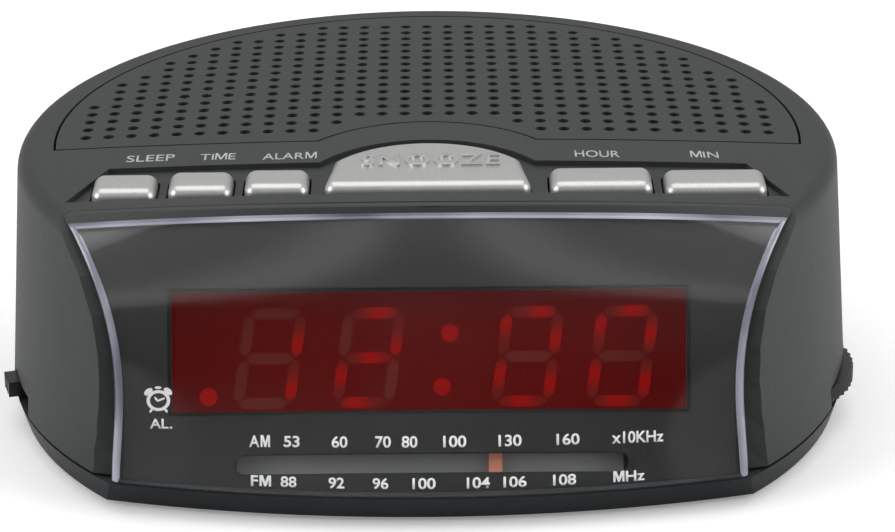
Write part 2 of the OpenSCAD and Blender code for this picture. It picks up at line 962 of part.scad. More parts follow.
module tact_switches() {
    color("#222222")
        for (x = concat(small_x, [0], large_x))
            translate([x, key_depth / 2 - key_front, key_board_z + board_t]) {
                translate([-tact_w / 2, -tact_w / 2, 0])
                    cube([tact_w, tact_w, tact_h]);
                cylinder(h = tact_h + tact_button_h, r = tact_button_r);
            }
}

module key_board_screws() {
    color("#8a8d90")
        for (p = key_posts)
            translate([p[0], p[1], key_board_z])
                screw(small_screw_r, 2 * small_screw_r, small_head_h, key_screw_l);
}

// Display and dial

module display_bezel() {
    d0 = lens_t + 2 * fit;
    cut_depth = front_half / 4;
    color("#161617") {
        difference() {
            intersection() {
                front_slab(d0, d0 + bezel_t, rim_z, body_h);
                drum(inset = wall + fit, drop = roof_t + fit);
            }
            front_block(0, window_s, -cut_depth, [window_w, window_h, 2 * cut_depth]);
            front_block(0, dial_s - dial_h / 2, -cut_depth, [dial_w, dial_h, 2 * cut_depth]);
        }
        for (p = clock_posts)
            clock_post(p, d0 + bezel_t / 2);
    }
}

// Post from the bezel's back to the clock board
module clock_post(p, depth) {
    z = front_z - p[1] * cos(front_lean) - depth * sin(front_lean);
    bow = (front_y(p[0], z) - front_y(0, z)) * cos(front_lean);
    on_front()
        translate([p[0], -p[1], -board_depth])
            difference() {
                cylinder(h = board_depth - depth - bow, r = clock_post_r);
                translate([0, 0, -1])
                    cylinder(h = board_screw_l + 1, r = small_pilot_r);
            }
}

module red_filter() {
    margin = 1;
    color("#5a0a0c", 0.6)
        front_block(0, window_s - margin, led_depth - fit - filter_t,
            [window_w + 2 * margin, window_h + 2 * margin, filter_t]);
}

module led_display() {
    color("#2a0a0b")
        front_block(0, led_s - led_h / 2, led_depth, [led_w, led_h, led_t]);
}

module clock_board() {
    color("#2f6b3a")
        difference() {
            front_block(0, clock_board_s, board_depth, [clock_board_w, clock_board_h, board_t]);
            for (p = clock_posts)
                on_front()
                    translate([p[0], -p[1], -board_depth - 2 * board_t])
                        cylinder(h = 4 * board_t, r = small_screw_r + fit);
        }
}

module clock_board_screws() {
    color("#8a8d90")
        for (p = clock_posts)
            on_front()
                translate([p[0], -p[1], -board_depth - board_t])
                    screw(small_screw_r, 2 * small_screw_r, small_head_h, board_screw_l);
}

// Segment between two points of a digit, with pointed ends, leaning with the digit
function lean_over(p) = [p[0] + p[1] * tan(digit_lean), p[1]];
module segment(p, q) {
    u = (q - p) / norm(q - p);
    v = [-u[1], u[0]];
    a = p + u * segment_gap;
    b = q - u * segment_gap;
    h = segment_w / 2;
    polygon([for (c = [a, a + h * (u + v), b - h * (u - v), b, b - h * (u + v), a + h * (u - v)])
        lean_over(c)]);
}

module digit() {
    w = digit_w / 2;
    h = digit_h / 2;
    for (y = [-h, 0, h])
        segment([-w, y], [w, y]);
    for (x = [-w, w])
        for (y = [-h, 0])
            segment([x, y], [x, y + h]);
}

module led_segments() {
    color("#c0161a")
        on_front()
            translate([0, -led_s - 1, -led_depth])
                linear_extrude(segment_t) {
                    for (x = digit_x)
                        translate([x, 0])
                            digit();
                    for (p = dot_places)
                        translate(p)
                            circle(dot_r, $fn = 32);
                }
}

module dial_plate() {
    color("#55585a")
        front_block(0, dial_s - plate_h / 2, plate_depth, [plate_w, plate_h, plate_t]);
}

module dial_pointer() {
    color("#b5623c") {
        difference() {
            union() {
                translate([pointer_x - carriage_l / 2, carriage_y, carriage_z])
                    cube([carriage_l, carriage_d, arm_z + arm_t - carriage_z]);
                // arm that reaches over the dial plate
                translate([pointer_x - pointer_w / 2, arm_y, arm_z])
                    cube([pointer_w, carriage_y + 1 - arm_y, arm_t]);
            }
            translate([pointer_x, rail_y, rail_z])
                rotate([0, 90, 0])
                    cylinder(h = 2 * carriage_l, r = rail_r + run_fit, center = true);
            // slot that grips the cord, open below
            translate([pointer_x - carriage_l, cord_front - cord_d / 2 - cord_gap, carriage_z - 1])
                cube([2 * carriage_l, cord_d + 2 * cord_gap,
                    cord_z + cord_d / 2 + cord_gap - carriage_z + 1]);
        }
        front_block(pointer_x, flag_s, flag_depth, [pointer_w, flag_l, flag_t]);
    }
}

module pointer_rail() {
    color("#a9adb0")
        translate([0, rail_y, rail_z])
            rotate([0, 90, 0])
                cylinder(h = 2 * rail_half + 2 * bracket_t, r = rail_r, center = true);
}

module cord_guides() {
    color("#c9b26a")
        for (x = [-guide_x, guide_x])
            translate([x, guide_y, cord_z])
                rotate_extrude()
                    difference() {
                        translate([0, -guide_t / 2])
                            square([guide_r + cord_d, guide_t]);
                        translate([guide_r + cord_d, 0])
                            square([2 * cord_d + 2 * cord_gap, cord_d + 2 * cord_gap], center = true);
                    }
}

// The cord runs round both guides and the drum: each stop is x, y, radius, in turn round the loop
cord_stops = [
    [-guide_x, guide_y, guide_r + cord_d / 2],
    [guide_x, guide_y, guide_r + cord_d / 2],
    [tune_x, tune_y, drum_r]
];
// Direction of the outer tangent from one stop to the next
function tangent_angle(a, b) =
    let (way = [b[0] - a[0], b[1] - a[1]])
    atan2(way[1], way[0]) - asin((b[2] - a[2]) / norm(way)) - 90;
function turned(a, from) = a < from ? turned(a + 360, from) : a;
function stop_arc(i) =
    let (s = cord_stops[i])
    let (a0 = tangent_angle(cord_stops[(i + 2) % 3], s))
    let (a1 = turned(tangent_angle(s, cord_stops[(i + 1) % 3]), a0))
    let (n = max(4, ceil((a1 - a0) / 12)))
    [for (k = [0:n]) let (a = a0 + (a1 - a0) * k / n) [s[0] + s[2] * cos(a), s[1] + s[2] * sin(a), a]];

module dial_cord() {
    ring = concat(stop_arc(0), stop_arc(1), stop_arc(2));
    n = len(ring);
    sides = 8;
    r = cord_d / 2;
    points = [for (p = ring) for (k = [0:sides - 1])
        let (b = 360 * k / sides)
        [p[0] + r * cos(b) * cos(p[2]), p[1] + r * cos(b) * sin(p[2]), cord_z + r * sin(b)]];
    faces = [for (i = [0:n - 1]) for (k = [0:sides - 1])
        let (a = i * sides + k)
        let (b = i * sides + (k + 1) % sides)
        let (c = ((i + 1) % n) * sides + (k + 1) % sides)
        let (d = ((i + 1) % n) * sides + k)
        for (f = [[a, b, c], [a, c, d]]) f];
    color("#d8d2c0")
        polyhedron(points, faces);
}

// Thumbwheel with a fine-toothed edge
module thumbwheel(r, bore) {
    linear_extrude(rim_t)
        difference() {
            polygon([for (i = [0:2 * rim_teeth - 1])
                let (a = 180 * i / rim_teeth)
                let (tip = i % 2 == 0 ? r : r - tooth_d)
                tip * [cos(a), sin(a)]]);
            circle(bore);
        }
}

module tuning_wheel() {
    color("#1c1c1d")
        translate([tune_x, tune_y, tune_level]) {
            thumbwheel(tune_r, shaft_r + fit / 4);
            translate([0, 0, -drum_t])
                difference() {
                    cylinder(h = drum_t, r = drum_r + drum_flange);
                    translate([0, 0, -1])
                        cylinder(h = drum_t + 2, r = shaft_r + fit / 4);
                    translate([0, 0, drum_t / 2])
                        rotate_extrude()
                            translate([drum_r + drum_flange, 0])
                                square([2 * (drum_flange + cord_d / 2 + cord_gap), cord_d + 2 * cord_gap],
                                    center = true);
                }
        }
}

module tuning_shaft() {
    color("#a9adb0")
        translate([tune_x, tune_y, tune_level - drum_t])
            cylinder(h = main_top + shaft_in - tune_level + drum_t, r = shaft_r);
}

module volume_wheel() {
    color("#1c1c1d")
        translate([volume_x, volume_y, tune_level])
            thumbwheel(volume_r, shaft_r + fit / 4);
}

module volume_shaft() {
    color("#a9adb0")
        translate([volume_x, volume_y, tune_level])
            cylinder(h = main_top + shaft_in - tune_level, r = shaft_r);
}

// Box on the board with a bore that carries a control's shaft
module shaft_box(x, y, w, h) {
    translate([x, y, main_top])
        difference() {
            translate([-w / 2, -w / 2, 0])
                cube([w, w, h]);
            translate([0, 0, -1])
                cylinder(h = shaft_in + 1 + fit, r = shaft_r + run_fit);
        }
}

module tuning_capacitor() { color("#e4e0d2") shaft_box(tune_x, tune_y, tuner_w, tuner_h); }
module volume_control() { color("#6a6d70") shaft_box(volume_x, volume_y, pot_w, pot_h); }

// Side switches

module switch_knob(angle, reach, start) {
    color("#1c1c1d")
        rotate([0, 0, angle])
            difference() {
                translate([knob_root, start - knob_l / 2, knob_z])
                    cube([reach - knob_root, knob_l, knob_h]);
                for (i = [-1:1])
                    translate([reach, start + i * knob_l / 4, knob_z - 1])
                        cylinder(h = knob_h + 2, r = knob_l / 12, $fn = 8);
            }
}

module switch_body(angle, travel) {
    l = travel + knob_l + switch_extra;
    gap = travel + knob_l + 2 * clear;
    color("#9a9c9e")
        rotate([0, 0, angle])
            difference() {
                translate([knob_root - switch_w / 2, -l / 2, knob_z - 2 * clear])
                    cube([switch_w, l, main_z - knob_z + 2 * clear]);
                translate([knob_root - clear, -gap / 2, knob_z - clear])
                    cube([switch_w, gap, knob_h + 2 * clear]);
            }
}

module function_knob() { switch_knob(function_angle, function_reach, -function_travel / 2); }
module function_switch() { switch_body(function_angle, function_travel); }
module band_knob() { switch_knob(band_angle, wall_r(knob_z) + band_reach, -band_travel / 2); }
module band_switch() { switch_body(band_angle, band_travel); }

// Main board and what stands on it

module main_board() {
    color("#b98a4a")
        translate([0, 0, main_z])
            linear_extrude(board_t)
                difference() {
                    intersection() {
                        union() {
                            translate([-main_half, -main_front])
                                square([2 * main_half, main_front + main_back]);
                            translate([-body_r, -wing_front])
                                square([body_r - wing_in, wing_front + wing_back]);
                            translate([wing_in, -wing_front])
                                square([body_r - wing_in, wing_front + wing_back]);
                        }
                        circle(wall_r(main_z) - wall - tongue_t - 1);
                    }
                    for (p = main_posts)
                        translate(p)
                            circle(small_screw_r + fit);
                    for (p = [[tune_x, tune_y], [volume_x, volume_y]])
                        translate(p)
                            circle(shaft_r + clear);
                }
}

module board_screws() {
    color("#8a8d90")
        for (p = main_posts)
            translate([p[0], p[1], main_top])
                mirror([0, 0, 1])
                    screw(small_screw_r, 2 * small_screw_r, small_head_h, board_screw_l);
}

module electrolytic_caps() {
    color("#20305a")
        for (p = cap_places)
            translate([p[0], p[1], main_top])
                cylinder(h = p[3], r = p[2], $fn = 32);
}

module if_cans() {
    color("#c7c9cb")
        for (p = can_places)
            translate([p[0] - can_w / 2, p[1] - can_w / 2, main_top])
                cube([can_w, can_w, can_h]);
}

module radio_chip() {
    color("#202020")
        translate([chip_x, chip_y, main_top])
            cube([chip_l, chip_w, chip_h]);
}

module ferrite_rod() {
    color("#3a3836")
        translate([0, rod_y, rod_z])
            rotate([0, 90, 0])
                cylinder(h = rod_l, r = rod_r, center = true);
}

module aerial_coil() {
    color("#a8552c")
        translate([0, rod_y, rod_z])
            rotate([0, 90, 0])
                difference() {
                    cylinder(h = coil_l, r = coil_r, center = true);
                    cylinder(h = 2 * coil_l, r = rod_r + run_fit, center = true);
                }
}

module rod_holders() {
    color("#e8e8e4")
        for (x = [-holder_x, holder_x])
            difference() {
                translate([x - holder_t / 2, rod_y - rod_r - 2, main_top])
                    cube([holder_t, 2 * rod_r + 4, rod_z + rod_r + 2 - main_top]);
                translate([x, rod_y, rod_z])
                    rotate([0, 90, 0])
                        cylinder(h = 2 * holder_t, r = rod_r + run_fit, center = true);
            }
}

// Mains transformer

module transformer_core() {
    z0 = floor_z + core_lift;
    color("#77797b")
        difference() {
            union() {
                translate([-core_w / 2, core_y - core_d / 2, z0])
                    cube([core_w, core_d, core_h]);
                translate([-core_ear - post_r, core_y - post_r, z0])
                    cube([2 * core_ear + 2 * post_r, 2 * post_r, ear_t]);
            }
            for (side = [-1, 1])
                translate([side * core_w / 4 - window_gap / 2, core_y - core_d, z0 + leg_w / 2])
                    cube([window_gap, 2 * core_d, core_h - leg_w]);
            for (x = [-core_ear, core_ear])
                translate([x, core_y, z0 - 1])
                    cylinder(h = 3 * ear_t, r = small_screw_r + fit);
        }
}

module transformer_winding() {
    z0 = floor_z + core_lift + leg_w / 2 + fit;
    w = leg_w + 2 * window_gap - 2 * fit;
    color("#b98a3a")
        difference() {
            translate([-w / 2, core_y - core_d / 2 - coil_out, z0])
                cube([w, core_d + 2 * coil_out, core_h - leg_w - 2 * fit]);
            translate([-leg_w / 2 - fit, core_y - core_d / 2 - fit, z0 - 1])
                cube([leg_w + 2 * fit, core_d + 2 * fit, core_h]);
        }
}

module transformer_screws() {
    color("#8a8d90")
        for (x = [-core_ear, core_ear])
            translate([x, core_y, floor_z + core_lift + ear_t])
                mirror([0, 0, 1])
                    screw(small_screw_r, 2 * small_screw_r, small_head_h, core_screw_l);
}

// Loudspeaker

module speaker_basket() {
    rim = speaker_r - speaker_rim;
    color("#4b4e51")
        translate([0, speaker_y, speaker_z])
            difference() {
                rotate_extrude()
                    polygon([[0, -basket_d], [magnet_r, -basket_d], [rim + 1, -basket_t],
                        [speaker_r, -basket_t], [speaker_r, 0], [rim, 0],
                        [magnet_r - 1, basket_t - basket_d], [0, basket_t - basket_d]]);
                for (a = [45:90:315])
                    translate([speaker_screw_r * cos(a), speaker_screw_r * sin(a), -2 * basket_t])
                        cylinder(h = 3 * basket_t, r = small_screw_r + fit);
            }
}

module speaker_cone() {
    rim = speaker_r - speaker_rim;
    color("#1e1e1f")
        translate([0, speaker_y, speaker_z])
            rotate_extrude()
                polygon([[0, cone_z], [cap_r, cone_z - cap_r / 3], [rim - 6 * cone_t, -basket_t / 2],
                    [rim - 3 * cone_t, fit], [rim + cone_t, fit], [rim + cone_t, fit + cone_t],
                    [rim - 5 * cone_t, fit + 2 * cone_t], [cap_r + 2 * cone_t, cone_z],
                    [cap_r / 2, cone_z + cap_r / 2], [0, cone_z + cap_r * 0.6]]);
}

module speaker_magnet() {
    color("#5b5d60")
        translate([0, speaker_y, speaker_z - basket_d - magnet_h])
            cylinder(h = magnet_h, r = magnet_r);
}

module speaker_screws() {
    color("#8a8d90")
        speaker_places()
            translate([0, 0, speaker_z - basket_t])
                screw(small_screw_r, 2 * small_screw_r, small_head_h, speaker_screw_l);
}

// Sets the drum's axis in the part's frame
module at_axis() {
    translate([0, axis_y, 0])
        children();
}

at_axis() upper_housing();
at_axis() base_cover();
at_axis() front_lens();
at_axis() display_bezel();
at_axis() speaker_grille();
at_axis() sleep_key();
at_axis() time_key();
at_axis() alarm_key();
at_axis() snooze_key();
at_axis() hour_key();
at_axis() min_key();
at_axis() key_board();
at_axis() tact_switches();
at_axis() key_board_screws();
at_axis() red_filter();
at_axis() led_display();
at_axis() led_segments();
at_axis() clock_board();
at_axis() clock_board_screws();
at_axis() dial_plate();
at_axis() dial_pointer();
at_axis() pointer_rail();
at_axis() dial_cord();
at_axis() cord_guides();
at_axis() tuning_wheel();
at_axis() tuning_shaft();
at_axis() tuning_capacitor();
at_axis() volume_wheel();
at_axis() volume_shaft();
at_axis() volume_control();
at_axis() function_knob();
at_axis() function_switch();
at_axis() band_knob();
at_axis() band_switch();
at_axis() main_board();
at_axis() board_screws();
at_axis() electrolytic_caps();
at_axis() if_cans();
at_axis() radio_chip();
at_axis() ferrite_rod();
at_axis() aerial_coil();
at_axis() rod_holders();
at_axis() transformer_core();
at_axis() transformer_winding();
at_axis() transformer_screws();
at_axis() speaker_basket();
at_axis() speaker_cone();
at_axis() speaker_magnet();
at_axis() speaker_screws();
at_axis() battery_door();
at_axis() battery_contacts();
at_axis() lead_bush();
at_axis() feet();
at_axis() case_screws();
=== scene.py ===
import math

import bmesh
import bpy
from mathutils import Matrix, Vector


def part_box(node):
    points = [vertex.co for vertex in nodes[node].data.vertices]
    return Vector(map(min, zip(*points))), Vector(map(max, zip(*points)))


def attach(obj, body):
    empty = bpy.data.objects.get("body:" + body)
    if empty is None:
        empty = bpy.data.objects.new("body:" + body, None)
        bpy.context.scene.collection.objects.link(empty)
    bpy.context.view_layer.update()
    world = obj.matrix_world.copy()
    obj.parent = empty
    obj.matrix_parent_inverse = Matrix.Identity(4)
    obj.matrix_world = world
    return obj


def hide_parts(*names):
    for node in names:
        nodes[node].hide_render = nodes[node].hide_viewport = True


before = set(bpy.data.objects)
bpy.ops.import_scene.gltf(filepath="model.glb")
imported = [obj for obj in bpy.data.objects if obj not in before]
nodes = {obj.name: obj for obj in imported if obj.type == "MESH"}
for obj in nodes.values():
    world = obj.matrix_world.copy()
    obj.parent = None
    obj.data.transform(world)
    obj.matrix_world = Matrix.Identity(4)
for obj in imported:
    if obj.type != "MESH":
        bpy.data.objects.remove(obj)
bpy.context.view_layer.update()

MM = 0.001


# Camera: a tripod shot from the front and a little above, level with the lean of the lens.
# It is placed to the photograph's frame of 895 by 532.
bpy.ops.object.select_all(action="DESELECT")
bpy.ops.object.camera_add(
    location=(0.554 * MM, -580.86 * MM, 262.84 * MM),
    rotation=(math.radians(67.354), math.radians(0.35), math.radians(-0.456)),
)
camera = bpy.context.object
camera.name = "camera"
camera.data.lens = 129.37
camera.data.sensor_width = 36
camera.data.clip_start = 0.01
bpy.context.scene.camera = camera
bpy.context.scene.view_settings.view_transform = "Standard"


# Studio: a flat white table in a pale room, with a broad overhead softbox and two side fills.
# The table is painted board; light paths keep it white in the picture, and in gloss rays a wedge in front of
# the radio is painted darker, a painted shade that shows as a dark reflection in the lens and base.
def linear(hex_code):
    """Linear RGBA of an sRGB hex colour."""
    channels = [int(hex_code[i:i + 2], 16) / 255 for i in (1, 3, 5)]
    return [c / 12.92 if c <= 0.04045 else ((c + 0.055) / 1.055) ** 2.4 for c in channels] + [1.0]


def add(tree, kind, inputs, **settings):
    """Adds one shader node; an input takes a value or another node's output socket."""
    node = tree.nodes.new("ShaderNode" + kind)
    for key, value in settings.items():
        setattr(node, key, value)
    for socket, value in inputs.items():
        if isinstance(value, bpy.types.NodeSocket):
            tree.links.new(value, node.inputs[socket])
        else:
            node.inputs[socket].default_value = value
    return node


def new_material(name):
    """An empty material and its node tree, with one output node."""
    mat = bpy.data.materials.new(name)
    mat.use_nodes = True
    mat.node_tree.nodes.clear()
    return mat, mat.node_tree


TABLE_SIZE, TABLE_DROP = 6, 0.1 * MM  # m; the drop keeps the table clear of the feet
TABLE_GLOW, TABLE_GLOSS_SHADE, TABLE_GRAIN = 0.22, 0.1, 10 / 9  # the grain in mm
GLOSS_SHADE_SLOPE, GLOSS_SHADE_RUN = 0.8, 0.05  # the wedge in front of the radio, painted darker in gloss rays as painted shade
bpy.ops.mesh.primitive_plane_add(size=TABLE_SIZE, location=(0, 0, -TABLE_DROP))
table = bpy.context.object
table.name = "table_top"
table_board, tree = new_material("painted white board")
path = add(tree, "LightPath", {})
seen = add(tree, "Math", {
    0: path.outputs["Is Camera Ray"], 1: path.outputs["Is Transmission Ray"]}, operation="MAXIMUM")
glow = add(tree, "Math", {0: seen.outputs[0], 1: TABLE_GLOW}, operation="MULTIPLY")
place = add(tree, "TexCoord", {}).outputs["Object"]
grain = add(tree, "TexNoise", {"Vector": place, "Scale": 1 / (TABLE_GRAIN * MM)})
tint = add(tree, "MapRange", {"Value": grain.outputs["Fac"], "To Min": 0.86, "To Max": 0.9})
spot = add(tree, "SeparateXYZ", {"Vector": place})
aside = add(tree, "Math", {0: spot.outputs["X"]}, operation="ABSOLUTE")
aside = add(tree, "Math", {
    0: spot.outputs["Y"], 1: GLOSS_SHADE_SLOPE, 2: aside.outputs[0]}, operation="MULTIPLY_ADD")
front = add(tree, "MapRange", {
    "Value": aside.outputs[0], "From Min": 0.0, "From Max": GLOSS_SHADE_RUN, "To Min": 1.0, "To Max": 0.0})
# Painted shade: in gloss rays the wedge in front of the radio is darkened, a painted dark reflection in the
# lens and base.
painted_gloss_shade = add(tree, "Math", {0: path.outputs["Is Glossy Ray"], 1: front.outputs["Result"]}, operation="MULTIPLY")
shade = add(tree, "Mix", {0: painted_gloss_shade.outputs[0], 2: tint.outputs["Result"], 3: TABLE_GLOSS_SHADE})
board = add(tree, "BsdfPrincipled", {
    "Base Color": shade.outputs[0], "Roughness": 0.7,
    "Emission Color": (1, 1, 1, 1), "Emission Strength": glow.outputs[0]})
add(tree, "OutputMaterial", {"Surface": board.outputs[0]})
table.data.materials.append(table_board)

world = bpy.data.worlds.new("studio")
world.use_nodes = True
tree = world.node_tree
tree.nodes.clear()
path = add(tree, "LightPath", {})
way = add(tree, "SeparateXYZ", {"Vector": add(tree, "TexCoord", {}).outputs["Generated"]})
height = add(tree, "MapRange", {
    "Value": way.outputs["Z"], "From Min": 0.494, "From Max": 0.52, "To Min": 0.02, "To Max": 0.9},
    interpolation_type="SMOOTHSTEP")
above = add(tree, "MapRange", {
    "Value": way.outputs["Z"], "From Min": 0.53, "From Max": 0.66, "To Min": 0.9, "To Max": 0.3})
height = add(tree, "Math", {0: height.outputs["Result"], 1: above.outputs["Result"]}, operation="MINIMUM")
left = add(tree, "MapRange", {
    "Value": way.outputs["X"], "From Min": -0.25, "From Max": 0.0, "To Min": 0.16, "To Max": 0.02})
back = add(tree, "MapRange", {
    "Value": way.outputs["Y"], "From Min": -0.7, "From Max": -0.1, "To Min": 0.0, "To Max": 0.45})
room = add(tree, "Math", {0: height.outputs[0], 1: back.outputs["Result"]}, operation="MAXIMUM")
room = add(tree, "Math", {0: room.outputs[0], 1: left.outputs["Result"]}, operation="MAXIMUM")
seen = add(tree, "Mix", {0: path.outputs["Is Camera Ray"], 2: room.outputs[0], 3: 1.0})
sky = add(tree, "Background", {"Color": (1, 1, 1, 1), "Strength": seen.outputs[0]})
add(tree, "OutputWorld", {"Surface": sky.outputs[0]})
bpy.context.scene.world = world

for name, place, aim, size, power in (
        ("overhead_softbox", (0.0, 0.15, 1.3), (0, 0, 0), 1.5, 10.0),
        ("left_fill", (-1.3, -0.5, 0.7), (0, 0, 0.02), 0.9, 10.0),
        ("right_fill", (1.3, -0.4, 0.6), (0, 0, 0.02), 0.9, 10.0)):
    bpy.ops.object.light_add(type="AREA", location=place)
    lamp = bpy.context.object
    lamp.name = name
    lamp.data.size = size
    lamp.data.energy = power
    lamp.rotation_euler = (Vector(aim) - Vector(place)).to_track_quat("-Z", "Y").to_euler()


# Upper housing and speaker grille: injection-moulded charcoal ABS from a spark-eroded tool.
# The grain scatters light, so the roof looks dry and even, with a soft sheen at low angles.
MOTTLE = 14  # mm


def moulded_plastic(name, deep, pale, roughness, grain_mm, depth_mm):
    """Moulded plastic: slow mottle between two near colours and a fine raised grain."""
    mat, tree = new_material(name)
    place = add(tree, "TexCoord", {}).outputs["Object"]
    mottle = add(tree, "TexNoise", {"Vector": place, "Scale": 1 / (MOTTLE * MM), "Detail": 3.0})
    tint = add(tree, "Mix", {0: mottle.outputs["Fac"], 6: linear(deep), 7: linear(pale)}, data_type="RGBA")
    grain = add(tree, "TexNoise", {"Vector": place, "Scale": 1 / (grain_mm * MM), "Detail": 2.0})
    bump = add(tree, "Bump", {"Height": grain.outputs["Fac"], "Strength": 0.6, "Distance": depth_mm * MM})
    sheen = add(tree, "MapRange", {
        "Value": grain.outputs["Fac"], "To Min": roughness - 0.05, "To Max": roughness + 0.07})
    skin = add(tree, "BsdfPrincipled", {
        "Base Color": tint.outputs[2], "Roughness": sheen.outputs["Result"],
        "Normal": bump.outputs["Normal"], "IOR": 1.53})
    add(tree, "OutputMaterial", {"Surface": skin.outputs[0]})
    return mat


def finish(mat, *names):
    """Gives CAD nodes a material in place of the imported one."""
    for name in names:
        nodes[name].data.materials.clear()
        nodes[name].data.materials.append(mat)


charcoal_abs = moulded_plastic("charcoal ABS, spark-eroded", "#272929", "#2b2d2d", 0.55, 0.7, 0.05)
finish(charcoal_abs, "upper_housing", "speaker_grille")


# Base cover and battery door: black ABS from the same kind of tool, a shade darker than the housing.
# They show as the tucked-in band under the parting line, and as the whole underside.
black_abs = moulded_plastic("black ABS, spark-eroded", "#2b2d2f", "#303234", 0.5, 0.7, 0.05)
finish(black_abs, "base_cover", "battery_door")


# Side controls: the two slide knobs and the two thumbwheels, hard black acetal.
# Fingers polish the ribs and teeth, so they shine more than the case.
black_acetal = moulded_plastic("black acetal, worn smooth", "#141415", "#1b1b1c", 0.34, 0.4, 0.02)
finish(black_acetal, "function_knob", "band_knob", "tuning_wheel", "volume_wheel")


# Display bezel: a black ABS plate behind the lens, from a polished tool.
# It carries the clock board on four posts, and frames the display and the dial.
finish(moulded_plastic("black ABS, smooth", "#0b0b0c", "#0e0e0f", 0.5, 0.7, 0.02), "display_bezel")


# Front lens: one pane of clear cast acrylic that snaps over the whole front of the housing.
# It is straight along the top, bows out towards the foot, and has polished edges whose piped light is painted
# into an opaque pale colour.
# Sizes in mm, measured from the drum's axis, which stands at AXIS_Y in the frame
AXIS_Y = -8.3125
FRONT_TOP, FRONT_RUN, FRONT_Z, FRONT_FALL = 41.4, 22.4, 52.0, 46.0
LEAN = math.atan(FRONT_RUN / FRONT_FALL)
FOOT_BOW, TOP_BOW = 438, 2000  # twice the bow's radius at the foot and at the top
HOLLOW, HOLLOW_X = 5.2, 60  # the deepest hollow, and how far out it is reached
HOLLOW_PEAK = 27 / 4  # brings the height of the curve t (1 - t)^2 to 1
CROWN_Z, CROWN = 53, 3200  # the roof's height on the axis, and twice its radius
WALL_R, WALL_TAPER, WALL_Z = 80.3, 0.07021, 6  # the wall at its foot
RIM_Z, EDGE_R, EDGE_IN, EDGE_Z = 6.3, 1.2, 76.01, 49.995
ROUNDS, SIDE_GUESS = 30, 60  # steps, and a first guess, for finding where two faces meet


def front_y(x, z):
    """The lens's outer face in mm, measured from the drum's axis."""
    t = (FRONT_Z - z) / FRONT_FALL
    bow = x * x / FOOT_BOW * max(t, 0) ** 2.5
    top_bow = x * x / TOP_BOW * max(1 - t, 0) ** 4
    hollow = HOLLOW * (x / HOLLOW_X) ** 2 * max(t, 0) * max(1 - t, 0) ** 2 * HOLLOW_PEAK
    return -FRONT_TOP - FRONT_RUN * t + bow + top_bow - hollow


def front_point(x, z, depth):
    """A point in metres behind the lens's outer face, at a depth in mm that holds at the lens's middle."""
    return Vector((x, front_y(x, z) + depth / math.cos(LEAN) + AXIS_Y, z)) * MM


def roof_z(r):
    """The roof's height in mm at a distance from the drum's axis."""
    return CROWN_Z - r * r / CROWN


def wall_r(z):
    """The drum's radius in mm, with the round at the roof's edge."""
    if z < EDGE_Z:
        return WALL_R - WALL_TAPER * (z - WALL_Z)
    return EDGE_IN + math.sqrt(max(EDGE_R ** 2 - (z - EDGE_Z) ** 2, 0))


def lens_top(x):
    """Height in mm at which the lens's top edge meets the roof."""
    z = FRONT_Z
    for _ in range(ROUNDS):
        r = math.hypot(x, front_y(x, z))
        top = roof_z(r)
        if r > EDGE_IN:
            top = EDGE_Z + math.sqrt(max(EDGE_R ** 2 - (r - EDGE_IN) ** 2, 0))
        z = (z + top) / 2
    return z


def lens_side(z):
    """Half width in mm at which the lens's side meets the wall."""
    x = SIDE_GUESS
    for _ in range(ROUNDS):
        x = (x + math.sqrt(max(wall_r(z) ** 2 - front_y(x, z) ** 2, 0))) / 2
    return x


def pick(obj, test, kind="edges"):
    """In edit mode, selects only the edges or faces that pass a test."""
    bpy.ops.mesh.select_all(action="DESELECT")
    bpy.ops.mesh.select_mode(type={"edges": "EDGE", "faces": "FACE"}[kind])
    shape = bmesh.from_edit_mesh(obj.data)
    for part in getattr(shape, kind):
        part.select_set(bool(test(part)))
    bmesh.update_edit_mesh(obj.data)


def apply_modifiers(obj):
    """Applies every modifier of an object, in order."""
    bpy.context.view_layer.objects.active = obj
    for modifier in list(obj.modifiers):
        bpy.ops.object.modifier_apply(modifier=modifier.name)


def front_sheet(name, inset, depth, drop=0.0, height=None):
    """A sheet in metres that follows the front, in from the lens's outline and behind its face."""
    bpy.ops.object.select_all(action="DESELECT")
    bpy.ops.mesh.primitive_grid_add(x_subdivisions=96, y_subdivisions=4 if height else 48, size=2)
    sheet = bpy.context.object
    sheet.name = name
    corner_z = EDGE_Z + EDGE_R * math.sqrt(0.5) - drop
    corner_x = lens_side(corner_z)
    for vertex in sheet.data.vertices:
        across, down = vertex.co.x, (1 - vertex.co.y) / 2
        side_z = corner_z - (height or corner_z - RIM_Z) * down
        x = across * (lens_side(side_z) - inset)
        top = lens_top(across * corner_x) - inset / 4 - drop
        z = top - (height or top - RIM_Z) * down
        vertex.co = front_point(x, z, depth)
    return sheet


def draw_out(way):
    """Draws the active sheet along a vector into a closed body, and stays in edit mode."""
    bpy.ops.object.mode_set(mode="EDIT")
    bpy.ops.mesh.select_all(action="SELECT")
    bpy.ops.mesh.extrude_region_move(TRANSFORM_OT_translate={"value": way})
    bpy.ops.mesh.select_all(action="SELECT")
    bpy.ops.mesh.normals_make_consistent(inside=False)


def front_rim(edge, upright):
    """True for an edge where the lens's face turns into its sides or, if not upright, into its top."""
    faces, (a, b) = edge.link_faces, edge.verts
    rises = abs(a.co.z - b.co.z) > abs(a.co.x - b.co.x)
    return ({face.material_index for face in faces} == {0, 1}
            and min(face.normal.y for face in faces) < FORWARD and rises == upright)


